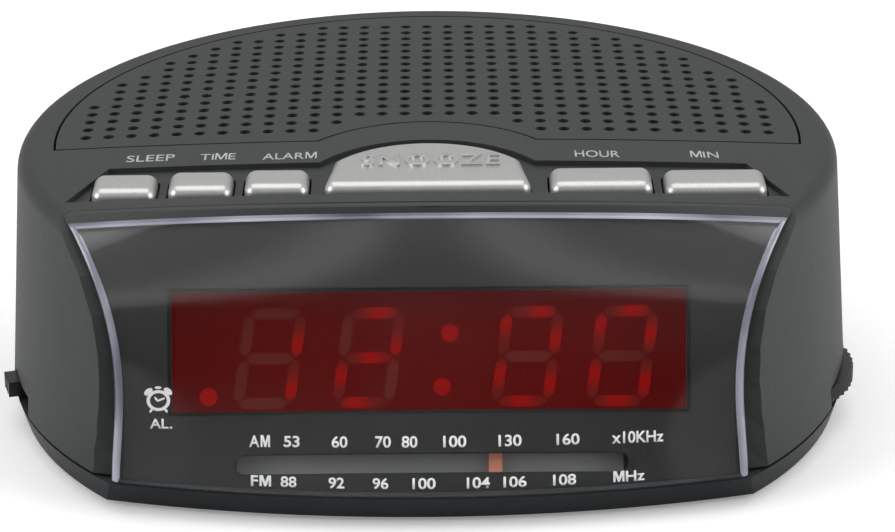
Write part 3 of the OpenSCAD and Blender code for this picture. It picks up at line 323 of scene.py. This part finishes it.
FORWARD, SIDEWAYS, UPWARD = -0.4, 0.02, 0.9  # limits of a normal's part that tell the faces apart
SMOOTH, LENS_SMOOTH = math.radians(35), math.radians(32)
LENS_T, LENS_GAP, SIDE_BEVEL, TOP_BEVEL = 1.75, 0.2, 1.6, 0.4
LIP_H, LIP_DEPTH, LIP_T, LIP_ROUND = 1.4, 1.65, 0.7, 0.65
lens = front_sheet("lens_pane", LENS_GAP, 0, LIP_H)
draw_out((0, LENS_T / math.cos(LEAN) * MM, 0))
bpy.ops.object.mode_set(mode="OBJECT")

acrylic, tree = new_material("cast acrylic, clear")
place = add(tree, "TexCoord", {}).outputs["Object"]
ripple = add(tree, "TexNoise", {"Vector": place, "Scale": 1 / (9 * MM)})
polish = add(tree, "MapRange", {"Value": ripple.outputs["Fac"], "To Min": 0.08, "To Max": 0.11})
pane = add(tree, "BsdfPrincipled", {
    "Base Color": linear("#ffffff"), "Roughness": polish.outputs["Result"], "IOR": 1.49,
    "Transmission Weight": 1.0, "Specular IOR Level": 0.15})
add(tree, "OutputMaterial", {"Surface": pane.outputs[0]})
lens.data.materials.append(acrylic)

# Polished edge: opaque pale lavender, streaked lighter and darker, painted light that stands in for light
# piped through the acrylic.
acrylic_edge_painted_light, tree = new_material("cast acrylic, polished edge with painted piped light")
place = add(tree, "TexCoord", {}).outputs["Object"]
painted_light_streak = add(tree, "TexNoise", {"Vector": place, "Scale": 1 / (24 * MM), "Detail": 2.0})
spread = add(tree, "MapRange", {"Value": painted_light_streak.outputs["Fac"], "From Min": 0.3, "From Max": 0.7})
painted_piped_light = add(tree, "Mix", {
    0: spread.outputs["Result"], 6: linear("#565869"), 7: linear("#aeb0be")}, data_type="RGBA")
edge = add(tree, "BsdfPrincipled", {
    "Base Color": painted_piped_light.outputs[2], "Roughness": 0.14, "IOR": 1.49,
    "Coat Weight": 0.6, "Coat Roughness": 0.05})
add(tree, "OutputMaterial", {"Surface": edge.outputs[0]})
lens.data.materials.append(acrylic_edge_painted_light)

# The lens's foot is faced with the black ABS, a dark sheet put on clear acrylic as painted shade.
lens.data.materials.append(black_abs)
bpy.ops.object.mode_set(mode="EDIT")
for slot, below in ((1, False), (2, True)):
    pick(lens, lambda f: abs(f.normal.y) < SIDEWAYS and (f.normal.z < -UPWARD) == below, "faces")
    lens.active_material_index = slot
    bpy.ops.object.material_slot_assign()
lens.active_material_index = 1
for upright, offset in ((True, SIDE_BEVEL), (False, TOP_BEVEL)):
    pick(lens, lambda e: front_rim(e, upright))
    bpy.ops.mesh.bevel(offset=offset * MM, segments=4, profile=0.6, affect="EDGES")
    bpy.ops.object.material_slot_assign()
bpy.ops.object.mode_set(mode="OBJECT")
bpy.ops.object.shade_smooth_by_angle(angle=LENS_SMOOTH)
lens.visible_shadow = False
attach(lens, "case")
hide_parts("front_lens")


# Roof lip: the housing's front edge, rolled over the top of the lens in the same charcoal ABS.
# It closes the line between the roof and the lens.
lip = front_sheet("roof_lip", LENS_GAP, LIP_DEPTH, 0.0, LIP_H)
draw_out((0, LIP_T / math.cos(LEAN) * MM, 0))
pick(lip, lambda e: max(f.normal.z for f in e.link_faces) > UPWARD
     and min(f.normal.y for f in e.link_faces) < FORWARD)
bpy.ops.mesh.bevel(offset=LIP_ROUND * MM, segments=6, profile=0.5, affect="EDGES")
bpy.ops.object.mode_set(mode="OBJECT")
bpy.ops.object.shade_smooth_by_angle(angle=SMOOTH)
lip.data.materials.append(charcoal_abs)
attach(lip, "case")


# Panel print: the lens's back is screen-printed dark grey, all but the display window and the dial.
# The black bezel stands behind it and shows only as a dark edge inside the two openings.
FRONT_PLACE = (Matrix.Translation((0, (AXIS_Y - FRONT_TOP) * MM, FRONT_Z * MM))
               @ Matrix.Rotation(math.pi / 2 - LEAN, 4, "X"))
PANEL_DEPTH, PANEL_T, PANEL_IN = 1.85, 0.04, 0.1
# Openings in mm on the front: left, right, bottom, top and corner radius
WINDOW = (-46.4, 46.4, -36.0, -13.6, 0.8)
DIAL_SLOT = (-34.6, 35.3, -46.5, -43.0, 1.74)
CUT_FROM, CUT_DEEP = -9, 16


def rounded(x0, x1, y0, y1, r):
    """Outline of a rectangle with round corners, in mm."""
    corners = ((x1 - r, y1 - r, 0), (x0 + r, y1 - r, 90), (x0 + r, y0 + r, 180), (x1 - r, y0 + r, 270))
    return [(x + r * math.cos(math.radians(a + i * 15)), y + r * math.sin(math.radians(a + i * 15)))
            for x, y, a in corners for i in range(7)]


def flat_face(outline, z=0.0):
    """A level face with a given outline."""
    bpy.ops.object.select_all(action="DESELECT")
    bpy.ops.mesh.primitive_circle_add(vertices=len(outline), fill_type="NGON")
    face = bpy.context.object
    for vertex, (x, y) in zip(face.data.vertices, outline):
        vertex.co = (x, y, z)
    return face


panel = front_sheet("panel_print", LENS_GAP + PANEL_IN, PANEL_DEPTH, LIP_H)
film = panel.modifiers.new("film", "SOLIDIFY")
film.thickness = PANEL_T * MM
film.offset = -1
openings = []
for sizes in (WINDOW, DIAL_SLOT):
    opening = flat_face(rounded(*sizes), CUT_FROM)
    draw_out((0, 0, CUT_DEEP))
    bpy.ops.object.mode_set(mode="OBJECT")
    opening.data.transform(FRONT_PLACE @ Matrix.Scale(MM, 4))
    cut = panel.modifiers.new("cut", "BOOLEAN")
    cut.object = opening
    cut.solver = "EXACT"
    openings.append(opening)
apply_modifiers(panel)
for opening in openings:
    bpy.data.objects.remove(opening)
panel_ink = moulded_plastic("dark grey screen-print ink", "#17181a", "#1a1b1d", 0.6, 0.3, 0.001)
panel.data.materials.append(panel_ink)
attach(panel, "case")


# Display stack: a sheet of red film in front of a block of dark red epoxy that holds the LEDs.
# The film swallows all but red, so the block looks like a deep red field; the block also has a painted glow
# that lifts that field.
def set_painted_glow(mat, colour, strength):
    """Gives a moulded plastic an even painted glow, light painted into a part that is no lamp."""
    skin = mat.node_tree.nodes["Principled BSDF"]
    skin.inputs["Emission Color"].default_value = linear(colour)
    skin.inputs["Emission Strength"].default_value = strength


red_film, tree = new_material("red acetate film")
place = add(tree, "TexCoord", {}).outputs["Object"]
cloud = add(tree, "TexNoise", {"Vector": place, "Scale": 1 / (30 * MM)})
dye = add(tree, "Mix", {
    0: cloud.outputs["Fac"], 6: linear("#d2665b"), 7: linear("#da6e63")}, data_type="RGBA")
film = add(tree, "BsdfPrincipled", {
    "Base Color": dye.outputs[2], "Roughness": 0.0, "IOR": 1.48, "Transmission Weight": 1.0,
    "Specular IOR Level": 0.0})
add(tree, "OutputMaterial", {"Surface": film.outputs[0]})
finish(red_film, "red_filter")
nodes["red_filter"].visible_shadow = False
red_epoxy_painted_glow = moulded_plastic("red epoxy, cast, with painted glow", "#3a0505", "#440606", 0.6, 0.5, 0.01)
# Painted glow: the block, which is no lamp, is given an even dark red light of its own.
set_painted_glow(red_epoxy_painted_glow, "#540000", 0.9)
finish(red_epoxy_painted_glow, "led_display")


# Lit and unlit segments: thin diffuser bars in the face of the LED block, set to twelve o'clock.
# Each lit bar has one small lamp behind it, so it glows in one spot and fades along its length; the unlit
# bars have a faint painted glow.
DIGIT_W, DIGIT_H, BAR_W, BAR_GAP, BAR_T = 9.2, 16.0, 2.0, 0.25, 0.17
SPOT_W, DOT_R, DOT_GLOW = 0.22, 1.6, 0.95  # the spot as a part of its bar's length
LED_S, LED_DEPTH = 25.9, 7.8  # the block's middle, down the front and behind it
DIGIT_LEAN = math.radians(8)
digit_lean = Matrix.Identity(4)
digit_lean[0][1] = math.tan(DIGIT_LEAN)


def bar(length, spot):
    """A bar along X with pointed ends and an attribute that says how bright each point is."""
    bpy.ops.object.select_all(action="DESELECT")
    bpy.ops.mesh.primitive_grid_add(x_subdivisions=14, y_subdivisions=4, size=1)
    piece = bpy.context.object
    half = length / 2 - BAR_GAP
    for vertex in piece.data.vertices:
        x = vertex.co.x * 2 * half
        reach = half - abs(x)
        y = max(-reach, min(reach, vertex.co.y * BAR_W))
        vertex.co = (x, y, BAR_T)
    bpy.ops.object.mode_set(mode="EDIT")
    bpy.ops.mesh.select_all(action="SELECT")
    bpy.ops.mesh.remove_doubles(threshold=0.001)
    draw_out((0, 0, -BAR_T))
    bpy.ops.object.mode_set(mode="OBJECT")
    glow = piece.data.attributes.new("glow", "FLOAT", "POINT")
    for vertex, value in zip(piece.data.vertices, glow.data):
        along = vertex.co.x / length + 0.5
        value.value = math.exp(-((along - spot) / SPOT_W) ** 2)
    return piece


def dot():
    """A round diffuser, evenly bright."""
    bpy.ops.object.select_all(action="DESELECT")
    bpy.ops.mesh.primitive_cylinder_add(vertices=48, radius=DOT_R, depth=BAR_T, location=(0, 0, BAR_T / 2))
    piece = bpy.context.object
    piece.data.transform(piece.matrix_world)
    piece.matrix_world = Matrix.Identity(4)
    glow = piece.data.attributes.new("glow", "FLOAT", "POINT")
    for value in glow.data:
        value.value = DOT_GLOW
    return piece


def join(pieces, name):
    """Joins pieces into one object with a name of its own."""
    bpy.ops.object.select_all(action="DESELECT")
    for piece in pieces:
        piece.select_set(True)
    bpy.context.view_layer.objects.active = pieces[0]
    bpy.ops.object.join()
    pieces[0].name = name
    return pieces[0]


# Bars in the order: bottom, middle, top, lower left, upper left, lower right, upper right
bar_places = [
    (0, -DIGIT_H / 2, 0), (0, 0, 0), (0, DIGIT_H / 2, 0),
    (-DIGIT_W / 2, -DIGIT_H / 4, 90), (-DIGIT_W / 2, DIGIT_H / 4, 90),
    (DIGIT_W / 2, -DIGIT_H / 4, 90), (DIGIT_W / 2, DIGIT_H / 4, 90)]
# Where the bright spot lies along each lit bar; None is a bar that is off
digits = [
    (-28.6, (None, None, None, None, None, 0.3, 0.3)),
    (-10.8, (0.35, 0.55, 0.6, 0.6, None, None, 0.2)),
    (17.7, (0.5, None, 0.65, 0.6, 0.75, 0.4, 0.4)),
    (34.7, (0.5, None, 0.6, 0.6, 0.7, 0.4, 0.5))]
# The colon and the alarm's dot
dots = ((3.8, 4.3), (2.3, -5.3), (-39.6, -6.7))
lit, unlit = [], []
for digit_x, spots in digits:
    for (x, y, turn), spot in zip(bar_places, spots):
        piece = bar(DIGIT_H / 2 if turn else DIGIT_W, 0.5 if spot is None else spot)
        piece.data.transform(
            Matrix.Translation((digit_x, 0, 0)) @ digit_lean
            @ Matrix.Translation((x, y, 0)) @ Matrix.Rotation(math.radians(turn), 4, "Z"))
        (unlit if spot is None else lit).append(piece)
for x, y in dots:
    piece = dot()
    piece.data.transform(Matrix.Translation((x, y, 0)))
    lit.append(piece)
on_block = FRONT_PLACE @ Matrix.Translation((0, -LED_S * MM, -LED_DEPTH * MM)) @ Matrix.Scale(MM, 4)

lit_epoxy, tree = new_material("diffuser epoxy, lit")
spot = add(tree, "Attribute", {}, attribute_name="glow")
heat = add(tree, "Mix", {
    0: spot.outputs["Fac"], 6: linear("#8d5553"), 7: linear("#ff2018")}, data_type="RGBA")
power = add(tree, "MapRange", {"Value": spot.outputs["Fac"], "To Min": 0.5, "To Max": 0.36})
glow = add(tree, "BsdfPrincipled", {
    "Base Color": linear("#2a1210"), "Roughness": 0.5,
    "Emission Color": heat.outputs[2], "Emission Strength": power.outputs["Result"]})
add(tree, "OutputMaterial", {"Surface": glow.outputs[0]})
unlit_epoxy_painted_glow = moulded_plastic("diffuser epoxy, unlit, with painted glow", "#66605e", "#6e6866", 0.5, 0.6, 0.01)
# The unlit bars are given a faint painted glow, light painted into bars that are off.
set_painted_glow(unlit_epoxy_painted_glow, "#5a5050", 0.5)
for pieces, name, mat in ((lit, "segments_lit", lit_epoxy), (unlit, "segments_unlit", unlit_epoxy_painted_glow)):
    group = join(pieces, name)
    group.data.transform(on_block)
    group.data.materials.append(mat)
    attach(group, "case")
    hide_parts("led_segments")


# Prints on the lens: the two scales, the alarm mark and its name, in white screen-print ink.
# They lie on the lens's back, in front of the dark grey, so the lens guards them from wear.
INK_T, INK_SPECKLE = 0.03, 0.35  # mm
# The letters in text units: a capital M's width and height, the font's stroke and the gap between runs
M_WIDE, M_HIGH, STROKE, RUN_GAP = 0.66, 0.73, 0.075, 0.08
BOLD = 0.022


def printing_ink(name, deep, pale):
    """A thin film of ink, a little uneven in cover."""
    mat, tree = new_material(name)
    place = add(tree, "TexCoord", {}).outputs["Object"]
    speckle = add(tree, "TexNoise", {"Vector": place, "Scale": 1 / (INK_SPECKLE * MM), "Detail": 3.0})
    cover = add(tree, "Mix", {0: speckle.outputs["Fac"], 6: linear(deep), 7: linear(pale)}, data_type="RGBA")
    coat = add(tree, "BsdfPrincipled", {"Base Color": cover.outputs[2], "Roughness": 0.55})
    add(tree, "OutputMaterial", {"Surface": coat.outputs[0]})
    return mat


def outline_m(w):
    """Outline of a capital M with strokes of a given width, in text units."""
    left = [(0, 0), (0, M_HIGH), (1.5 * w, M_HIGH), (M_WIDE / 2, 2.3 * w)]
    foot = [(M_WIDE / 2 - 0.45 * w, 0), (w, M_HIGH - 2.2 * w), (w, 0)]
    right = [(M_WIDE - x, y) for x, y in reversed(left[:3])]
    return left + right + [(M_WIDE - x, y) for x, y in reversed(foot)] + foot


def word(text, width, height, bolder=BOLD, spacing=1.0):
    """A flat word in mm, centred on the origin. Its M is drawn, as the font's own fills up when bolder."""
    parts, end = [], 0.0
    for run in text.replace("M", " M ").split():
        if run == "M":
            flat_face(outline_m(STROKE + 2.5 * bolder))
        else:
            bpy.ops.object.select_all(action="DESELECT")
            bpy.ops.object.text_add()
            bpy.context.object.data.body = run
            bpy.context.object.data.offset = bolder
            bpy.context.object.data.space_character = spacing
            bpy.ops.object.convert(target="MESH")
        part = bpy.context.object
        start = min(v.co.x for v in part.data.vertices)
        part.data.transform(Matrix.Translation((end - start, 0, 0)))
        end = max(v.co.x for v in part.data.vertices) + RUN_GAP
        parts.append(part)
    piece = join(parts, "word")
    low = [min(v.co[i] for v in piece.data.vertices) for i in (0, 1)]
    high = [max(v.co[i] for v in piece.data.vertices) for i in (0, 1)]
    for vertex in piece.data.vertices:
        vertex.co.x = ((vertex.co.x - low[0]) / (high[0] - low[0]) - 0.5) * width
        vertex.co.y = ((vertex.co.y - low[1]) / (high[1] - low[1]) - 0.5) * height
    bpy.ops.object.mode_set(mode="EDIT")
    bpy.ops.mesh.select_all(action="SELECT")
    bpy.ops.mesh.remove_doubles(threshold=0.0005)
    bpy.ops.mesh.normals_make_consistent(inside=False)
    bpy.ops.object.mode_set(mode="OBJECT")
    return piece


def lay_on(piece, where, carrier):
    """Sets a flat piece at a place, drops it on a CAD node's face and gives it the ink's thickness."""
    piece.data.transform(Matrix.Scale(MM, 4))
    piece.matrix_world = where
    drop = piece.modifiers.new("drop", "SHRINKWRAP")
    drop.target = nodes[carrier]
    drop.wrap_method = "PROJECT"
    drop.use_project_z = True
    drop.use_positive_direction = False
    drop.use_negative_direction = True
    drop.offset = INK_T * MM
    film = piece.modifiers.new("film", "SOLIDIFY")
    film.thickness = INK_T * MM
    film.offset = -1
    bpy.context.view_layer.update()
    apply_modifiers(piece)
    piece.data.transform(piece.matrix_world)
    piece.matrix_world = Matrix.Identity(4)


def lay_behind_lens(piece, x, z):
    """Sets a flat piece in mm against the lens's back, with its middle at a place on the front."""
    for vertex in piece.data.vertices:
        vertex.co = front_point(x + vertex.co.x, z + vertex.co.y * math.cos(LEAN), WORD_DEPTH)
    film = piece.modifiers.new("film", "SOLIDIFY")
    film.thickness = INK_T * MM
    film.offset = 0
    apply_modifiers(piece)


AM_Z, FM_Z, WORD_DEPTH = 14.3, 7.65, 1.8
MARK_X, MARK_Z, MARK_SCALE = -48.1, 21.3, 1.2
# Each word with its middle on the front, its width and its height
scale_words = [
    ("AM", -30.2, AM_Z, 3.7, 2.3), ("53", -24.5, AM_Z, 2.8, 2.1), ("60", -16.0, AM_Z, 2.8, 2.1),
    ("70", -8.3, AM_Z, 2.8, 2.1), ("80", -3.6, AM_Z, 2.8, 2.1), ("100", 4.4, AM_Z, 4.1, 2.1),
    ("130", 14.2, AM_Z, 4.1, 2.1), ("160", 24.5, AM_Z, 4.1, 2.1), ("x10KHz", 36.9, AM_Z, 9.2, 2.3),
    ("FM", -30.0, FM_Z, 3.6, 2.1), ("88", -25.1, FM_Z, 2.8, 2.0), ("92", -16.6, FM_Z, 2.8, 2.0),
    ("96", -8.8, FM_Z, 2.8, 2.0), ("100", -1.1, FM_Z, 4.1, 2.0), ("104", 8.5, FM_Z, 4.1, 2.0),
    ("106", 15.0, FM_Z, 4.1, 2.0), ("108", 23.8, FM_Z, 4.1, 2.0), ("MHz", 35.3, FM_Z, 5.6, 2.1),
    ("AL .", -47.7, 17.1, 4.0, 2.0)]
prints = []
for text, x, z, width, height in scale_words:
    piece = word(text, width, height)
    lay_behind_lens(piece, x, z)
    prints.append(piece)


# The alarm mark: a round bell clock in outline, made of a ring, two bells, a knob, feet and hands.
def disc(radius, inner=0.0, squash=1.0, place=(0, 0), turn=0.0):
    """A flat disc or ring in mm."""
    bpy.ops.object.select_all(action="DESELECT")
    bpy.ops.mesh.primitive_circle_add(vertices=40, radius=radius, fill_type="NGON")
    piece = bpy.context.object
    if inner:
        bpy.ops.object.mode_set(mode="EDIT")
        bpy.ops.mesh.select_all(action="SELECT")
        bpy.ops.mesh.inset(thickness=radius - inner, depth=0)
        bpy.ops.mesh.delete(type="FACE")
        bpy.ops.object.mode_set(mode="OBJECT")
    piece.data.transform(
        Matrix.Translation((*place, 0)) @ Matrix.Rotation(math.radians(turn), 4, "Z")
        @ Matrix.Diagonal((1, squash, 1, 1)))
    return piece


mark = [
    disc(1.75, 1.25),
    disc(0.75, squash=0.62, place=(-1.45, 1.5), turn=45),
    disc(0.75, squash=0.62, place=(1.45, 1.5), turn=-45),
    disc(0.5, squash=0.45, place=(0, 2.15)),
    disc(0.42, squash=0.45, place=(-1.1, -1.65), turn=60),
    disc(0.42, squash=0.45, place=(1.1, -1.65), turn=-60),
    disc(0.62, squash=0.28, place=(0.42, 0.18), turn=22),
    disc(0.5, squash=0.34, place=(-0.28, 0.22), turn=125)]
mark = join(mark, "alarm_mark")
mark.data.transform(Matrix.Scale(MARK_SCALE, 4))
lay_behind_lens(mark, MARK_X, MARK_Z)
prints.append(mark)
scales = join(prints, "lens_prints")
scales.data.materials.clear()
scales.data.materials.append(printing_ink("white screen-print ink", "#eeeeee", "#ffffff"))
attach(scales, "case")


# Dial: a grey-printed strip behind the slot and an orange pointer that slides in front of it.
# The strip is satin card-like plastic; the pointer is moulded in one piece with its carriage.
# The strip's grey is painted lighter than its own, painted light that lifts it out of the shade of its deep
# slot.
finish(moulded_plastic("grey printed polystyrene, painted lighter", "#8f9192", "#989a9b", 0.5, 0.6, 0.01), "dial_plate")
finish(moulded_plastic("orange polystyrene", "#ffa284", "#ffae92", 0.45, 0.5, 0.01), "dial_pointer")


# Six keys: moulded caps with a silver lacquer, each on a stem that presses a switch on the key board.
# The lacquer holds fine aluminium flakes, so it shines softly and glitters a little.
silver_lacquer, tree = new_material("silver lacquer on ABS")
place = add(tree, "TexCoord", {}).outputs["Object"]
flake = add(tree, "TexVoronoi", {"Vector": place, "Scale": 1 / (0.25 * MM)})
shade = add(tree, "Mix", {
    0: flake.outputs["Distance"], 6: linear("#cececc"), 7: linear("#bcbcba")}, data_type="RGBA")
tilt = add(tree, "Bump", {"Height": flake.outputs["Distance"], "Strength": 0.25, "Distance": 0.02 * MM})
lacquer = add(tree, "BsdfPrincipled", {
    "Base Color": shade.outputs[2], "Metallic": 0.75, "Roughness": 0.36, "Normal": tilt.outputs["Normal"],
    "Coat Weight": 0.2, "Coat Roughness": 0.2})
add(tree, "OutputMaterial", {"Surface": lacquer.outputs[0]})
KEY_Y0, KEY_Y1, KEY_CORNER, KEY_ROUND, STEM, STEM_ROUND = -33.4, -23.8, 2.0, 1.9, 4.0, 0.5
# Depths in mm under a key's top: the cap's foot, the flange's two faces and the stem's top
CAP_DEEP, FLANGE_TOP, FLANGE_FOOT, STEM_TOP = 6.0, 5.6, 6.8, 6.6


def cap(outline, node):
    """A key: an outline in mm drawn up into a rounded cap, with its flange and stem below."""
    low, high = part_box(node)
    bottom, top = low.z / MM, high.z / MM
    piece = flat_face(outline, top - CAP_DEEP)
    draw_out((0, 0, CAP_DEEP))
    pick(piece, lambda e: all(v.co.z > top - 0.01 for v in e.verts))
    bpy.ops.mesh.bevel(offset=KEY_ROUND, segments=8, profile=0.5, affect="EDGES")
    bpy.ops.object.mode_set(mode="OBJECT")
    parts = [piece]
    x_mid = (low.x + high.x) / 2 / MM
    flange_y, stem_y = (low.y + high.y) / 2 / MM - AXIS_Y, (KEY_Y0 + KEY_Y1) / 2
    for width, depth, y_mid, z0, z1 in (
            ((high.x - low.x) / MM, (high.y - low.y) / MM, flange_y, top - FLANGE_FOOT, top - FLANGE_TOP),
            (STEM, STEM, stem_y, bottom, top - STEM_TOP)):
        bpy.ops.object.select_all(action="DESELECT")
        bpy.ops.mesh.primitive_cube_add(size=1)
        part = bpy.context.object
        part.data.transform(
            Matrix.Translation((x_mid, y_mid, (z0 + z1) / 2)) @ Matrix.Diagonal((width, depth, z1 - z0, 1)))
        bpy.ops.object.mode_set(mode="EDIT")
        pick(part, lambda e: abs(e.verts[0].co.z - e.verts[1].co.z) > 0.1)
        bpy.ops.mesh.bevel(offset=STEM_ROUND, segments=2, affect="EDGES")
        bpy.ops.object.mode_set(mode="OBJECT")
        parts.append(part)
    piece = join(parts, node.replace("_key", "_cap"))
    piece.data.transform(Matrix.Scale(MM, 4) @ Matrix.Translation((0, AXIS_Y, 0)))
    bpy.ops.object.shade_smooth_by_angle(angle=SMOOTH)
    piece.data.materials.append(silver_lacquer)
    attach(piece, node.replace("_key", ""))
    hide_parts(node)


for node, x, width in (
        ("sleep_key", -54.9, 11.6), ("time_key", -41.1, 11.6), ("alarm_key", -27.3, 11.6),
        ("hour_key", 31.4, 18.5), ("min_key", 52.1, 18.5)):
    cap(rounded(x - width / 2, x + width / 2, KEY_Y0, KEY_Y1, KEY_CORNER), node)

# The snooze key is wider and has an arched back.
SNOOZE_HALF, SNOOZE_ARCH, SNOOZE_Y, SNOOZE_TAPER, ARCH_STEPS = 18.65, 20.4, -31.4, 1.45, 40
start = math.acos((SNOOZE_HALF - SNOOZE_TAPER) / SNOOZE_ARCH)
arch = [start + (math.pi - 2 * start) * i / ARCH_STEPS for i in range(ARCH_STEPS + 1)]
outline = [(SNOOZE_ARCH * math.cos(a), SNOOZE_Y + SNOOZE_ARCH * math.sin(a)) for a in arch]
for side, first in ((-1, 180), (1, 270)):
    turns = [math.radians(first + i * 18) for i in range(6)]
    outline += [(side * (SNOOZE_HALF - KEY_CORNER) + KEY_CORNER * math.cos(a),
                 KEY_Y0 + KEY_CORNER + KEY_CORNER * math.sin(a)) for a in turns]
cap(outline, "snooze_key")

# The word on the snooze key stands up in low relief, lacquered with the key.
RELIEF_X, RELIEF_Y, RELIEF_W, RELIEF_H = 0.5, -21.7, 25.4, 5.6
RELIEF_BOLD, RELIEF_SPACING = 0.014, 1.14
RELIEF_UP, RELIEF_T, RELIEF_ROUND = 0.35, 0.5, 0.1
relief = word("SNOOZE", RELIEF_W, RELIEF_H, RELIEF_BOLD, RELIEF_SPACING)
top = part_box("snooze_key")[1].z
relief.data.transform(Matrix.Translation((RELIEF_X, RELIEF_Y + AXIS_Y, 0)))
relief.data.transform(Matrix.Scale(MM, 4))
relief.data.transform(Matrix.Translation((0, 0, top + RELIEF_UP * MM)))
body = relief.modifiers.new("body", "SOLIDIFY")
body.thickness = RELIEF_T * MM
body.offset = -1
soft = relief.modifiers.new("soft", "BEVEL")
soft.width = RELIEF_ROUND * MM
soft.segments = 2
soft.limit_method = "ANGLE"
soft.angle_limit = math.radians(60)
apply_modifiers(relief)
relief.name = "snooze_word"
relief.data.materials.clear()
relief.data.materials.append(silver_lacquer)
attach(relief, "snooze")


# Key names: pad-printed in pale grey ink on the roof, behind the trough.
# Each word is dropped from above, so the ink follows the roof's crown.
NAME_H, NAME_BOLD, NAME_FROM = 3.3, 0.006, 60
labels = []
for text, x, y, width in (
        ("SLEEP", -51.3, -14.3, 8.9), ("TIME", -38.8, -14.7, 6.6), ("ALARM", -25.5, -15.3, 10.0),
        ("HOUR", 31.4, -15.3, 8.3), ("MIN", 51.3, -14.8, 5.2)):
    piece = word(text, width, NAME_H, NAME_BOLD)
    lay_on(piece, Matrix.Translation((x * MM, (y + AXIS_Y) * MM, NAME_FROM * MM)), "upper_housing")
    labels.append(piece)
labels = join(labels, "key_names")
labels.data.materials.clear()
labels.data.materials.append(printing_ink("pale grey pad-print ink", "#a0a2a2", "#b6b8b8"))
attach(labels, "case")


# Underside and back: rubber feet, the rubber bush for the lead and the case screws.
# The rubber is moulded and dull; the screws are zinc-plated steel.
def plated_metal(name, deep, pale, roughness, grain_mm):
    """Metal with a fine directionless grain from plating, drawing or sintering."""
    mat, tree = new_material(name)
    place = add(tree, "TexCoord", {}).outputs["Object"]
    grain = add(tree, "TexNoise", {"Vector": place, "Scale": 1 / (grain_mm * MM), "Detail": 4.0})
    tint = add(tree, "Mix", {0: grain.outputs["Fac"], 6: linear(deep), 7: linear(pale)}, data_type="RGBA")
    wear = add(tree, "MapRange", {
        "Value": grain.outputs["Fac"], "To Min": roughness - 0.08, "To Max": roughness + 0.08})
    metal = add(tree, "BsdfPrincipled", {
        "Base Color": tint.outputs[2], "Metallic": 1.0, "Roughness": wear.outputs["Result"]})
    add(tree, "OutputMaterial", {"Surface": metal.outputs[0]})
    return mat


finish(moulded_plastic("nitrile rubber, moulded", "#161616", "#1d1d1d", 0.75, 0.5, 0.03), "feet", "lead_bush")
zinc = plated_metal("zinc-plated steel", "#8d9093", "#a9acae", 0.35, 1.5)
finish(zinc, "case_screws", "key_board_screws", "clock_board_screws", "board_screws", "transformer_screws",
       "speaker_screws", "pointer_rail", "tuning_shaft", "volume_shaft", "function_switch", "band_switch",
       "volume_control", "speaker_basket")


# Works inside the case: boards, tuner, aerial, transformer and loudspeaker.
# Each keeps the stock finish of its kind; little of it shows once the case is closed.
for mat, names in (
        (moulded_plastic("glass-epoxy board, green mask", "#1d4a28", "#245631", 0.4, 1.2, 0.01),
         ("key_board", "clock_board")),
        (moulded_plastic("phenolic paper board", "#8a6236", "#a0743f", 0.55, 0.9, 0.02), ("main_board",)),
        (moulded_plastic("black epoxy moulding", "#1a1a1b", "#202021", 0.5, 0.4, 0.02),
         ("tact_switches", "radio_chip")),
        (moulded_plastic("blue sleeve film", "#1d2b52", "#25355f", 0.3, 3.0, 0.01), ("electrolytic_caps",)),
        (moulded_plastic("natural nylon", "#d8d4c6", "#e4e0d4", 0.5, 0.8, 0.01),
         ("tuning_capacitor", "rod_holders")),
        (moulded_plastic("waxed cotton cord", "#b8ae98", "#d2c9b4", 0.85, 0.3, 0.05), ("dial_cord",)),
        (moulded_plastic("sintered ferrite", "#2c2a28", "#383533", 0.6, 0.4, 0.02), ("ferrite_rod",)),
        (moulded_plastic("pressed paper cone", "#1a1a1a", "#242322", 0.9, 0.6, 0.06), ("speaker_cone",)),
        (plated_metal("drawn aluminium", "#b4b6b8", "#c8cacc", 0.3, 2.0), ("if_cans",)),
        (plated_metal("turned brass", "#a8873f", "#c2a055", 0.3, 1.0), ("cord_guides", "battery_contacts")),
        (plated_metal("enamelled copper wire", "#8a4420", "#a8562c", 0.35, 0.5),
         ("aerial_coil", "transformer_winding")),
        (plated_metal("laminated iron", "#5f6163", "#75777a", 0.5, 0.6),
         ("transformer_core", "speaker_magnet"))):
    finish(mat, *names)
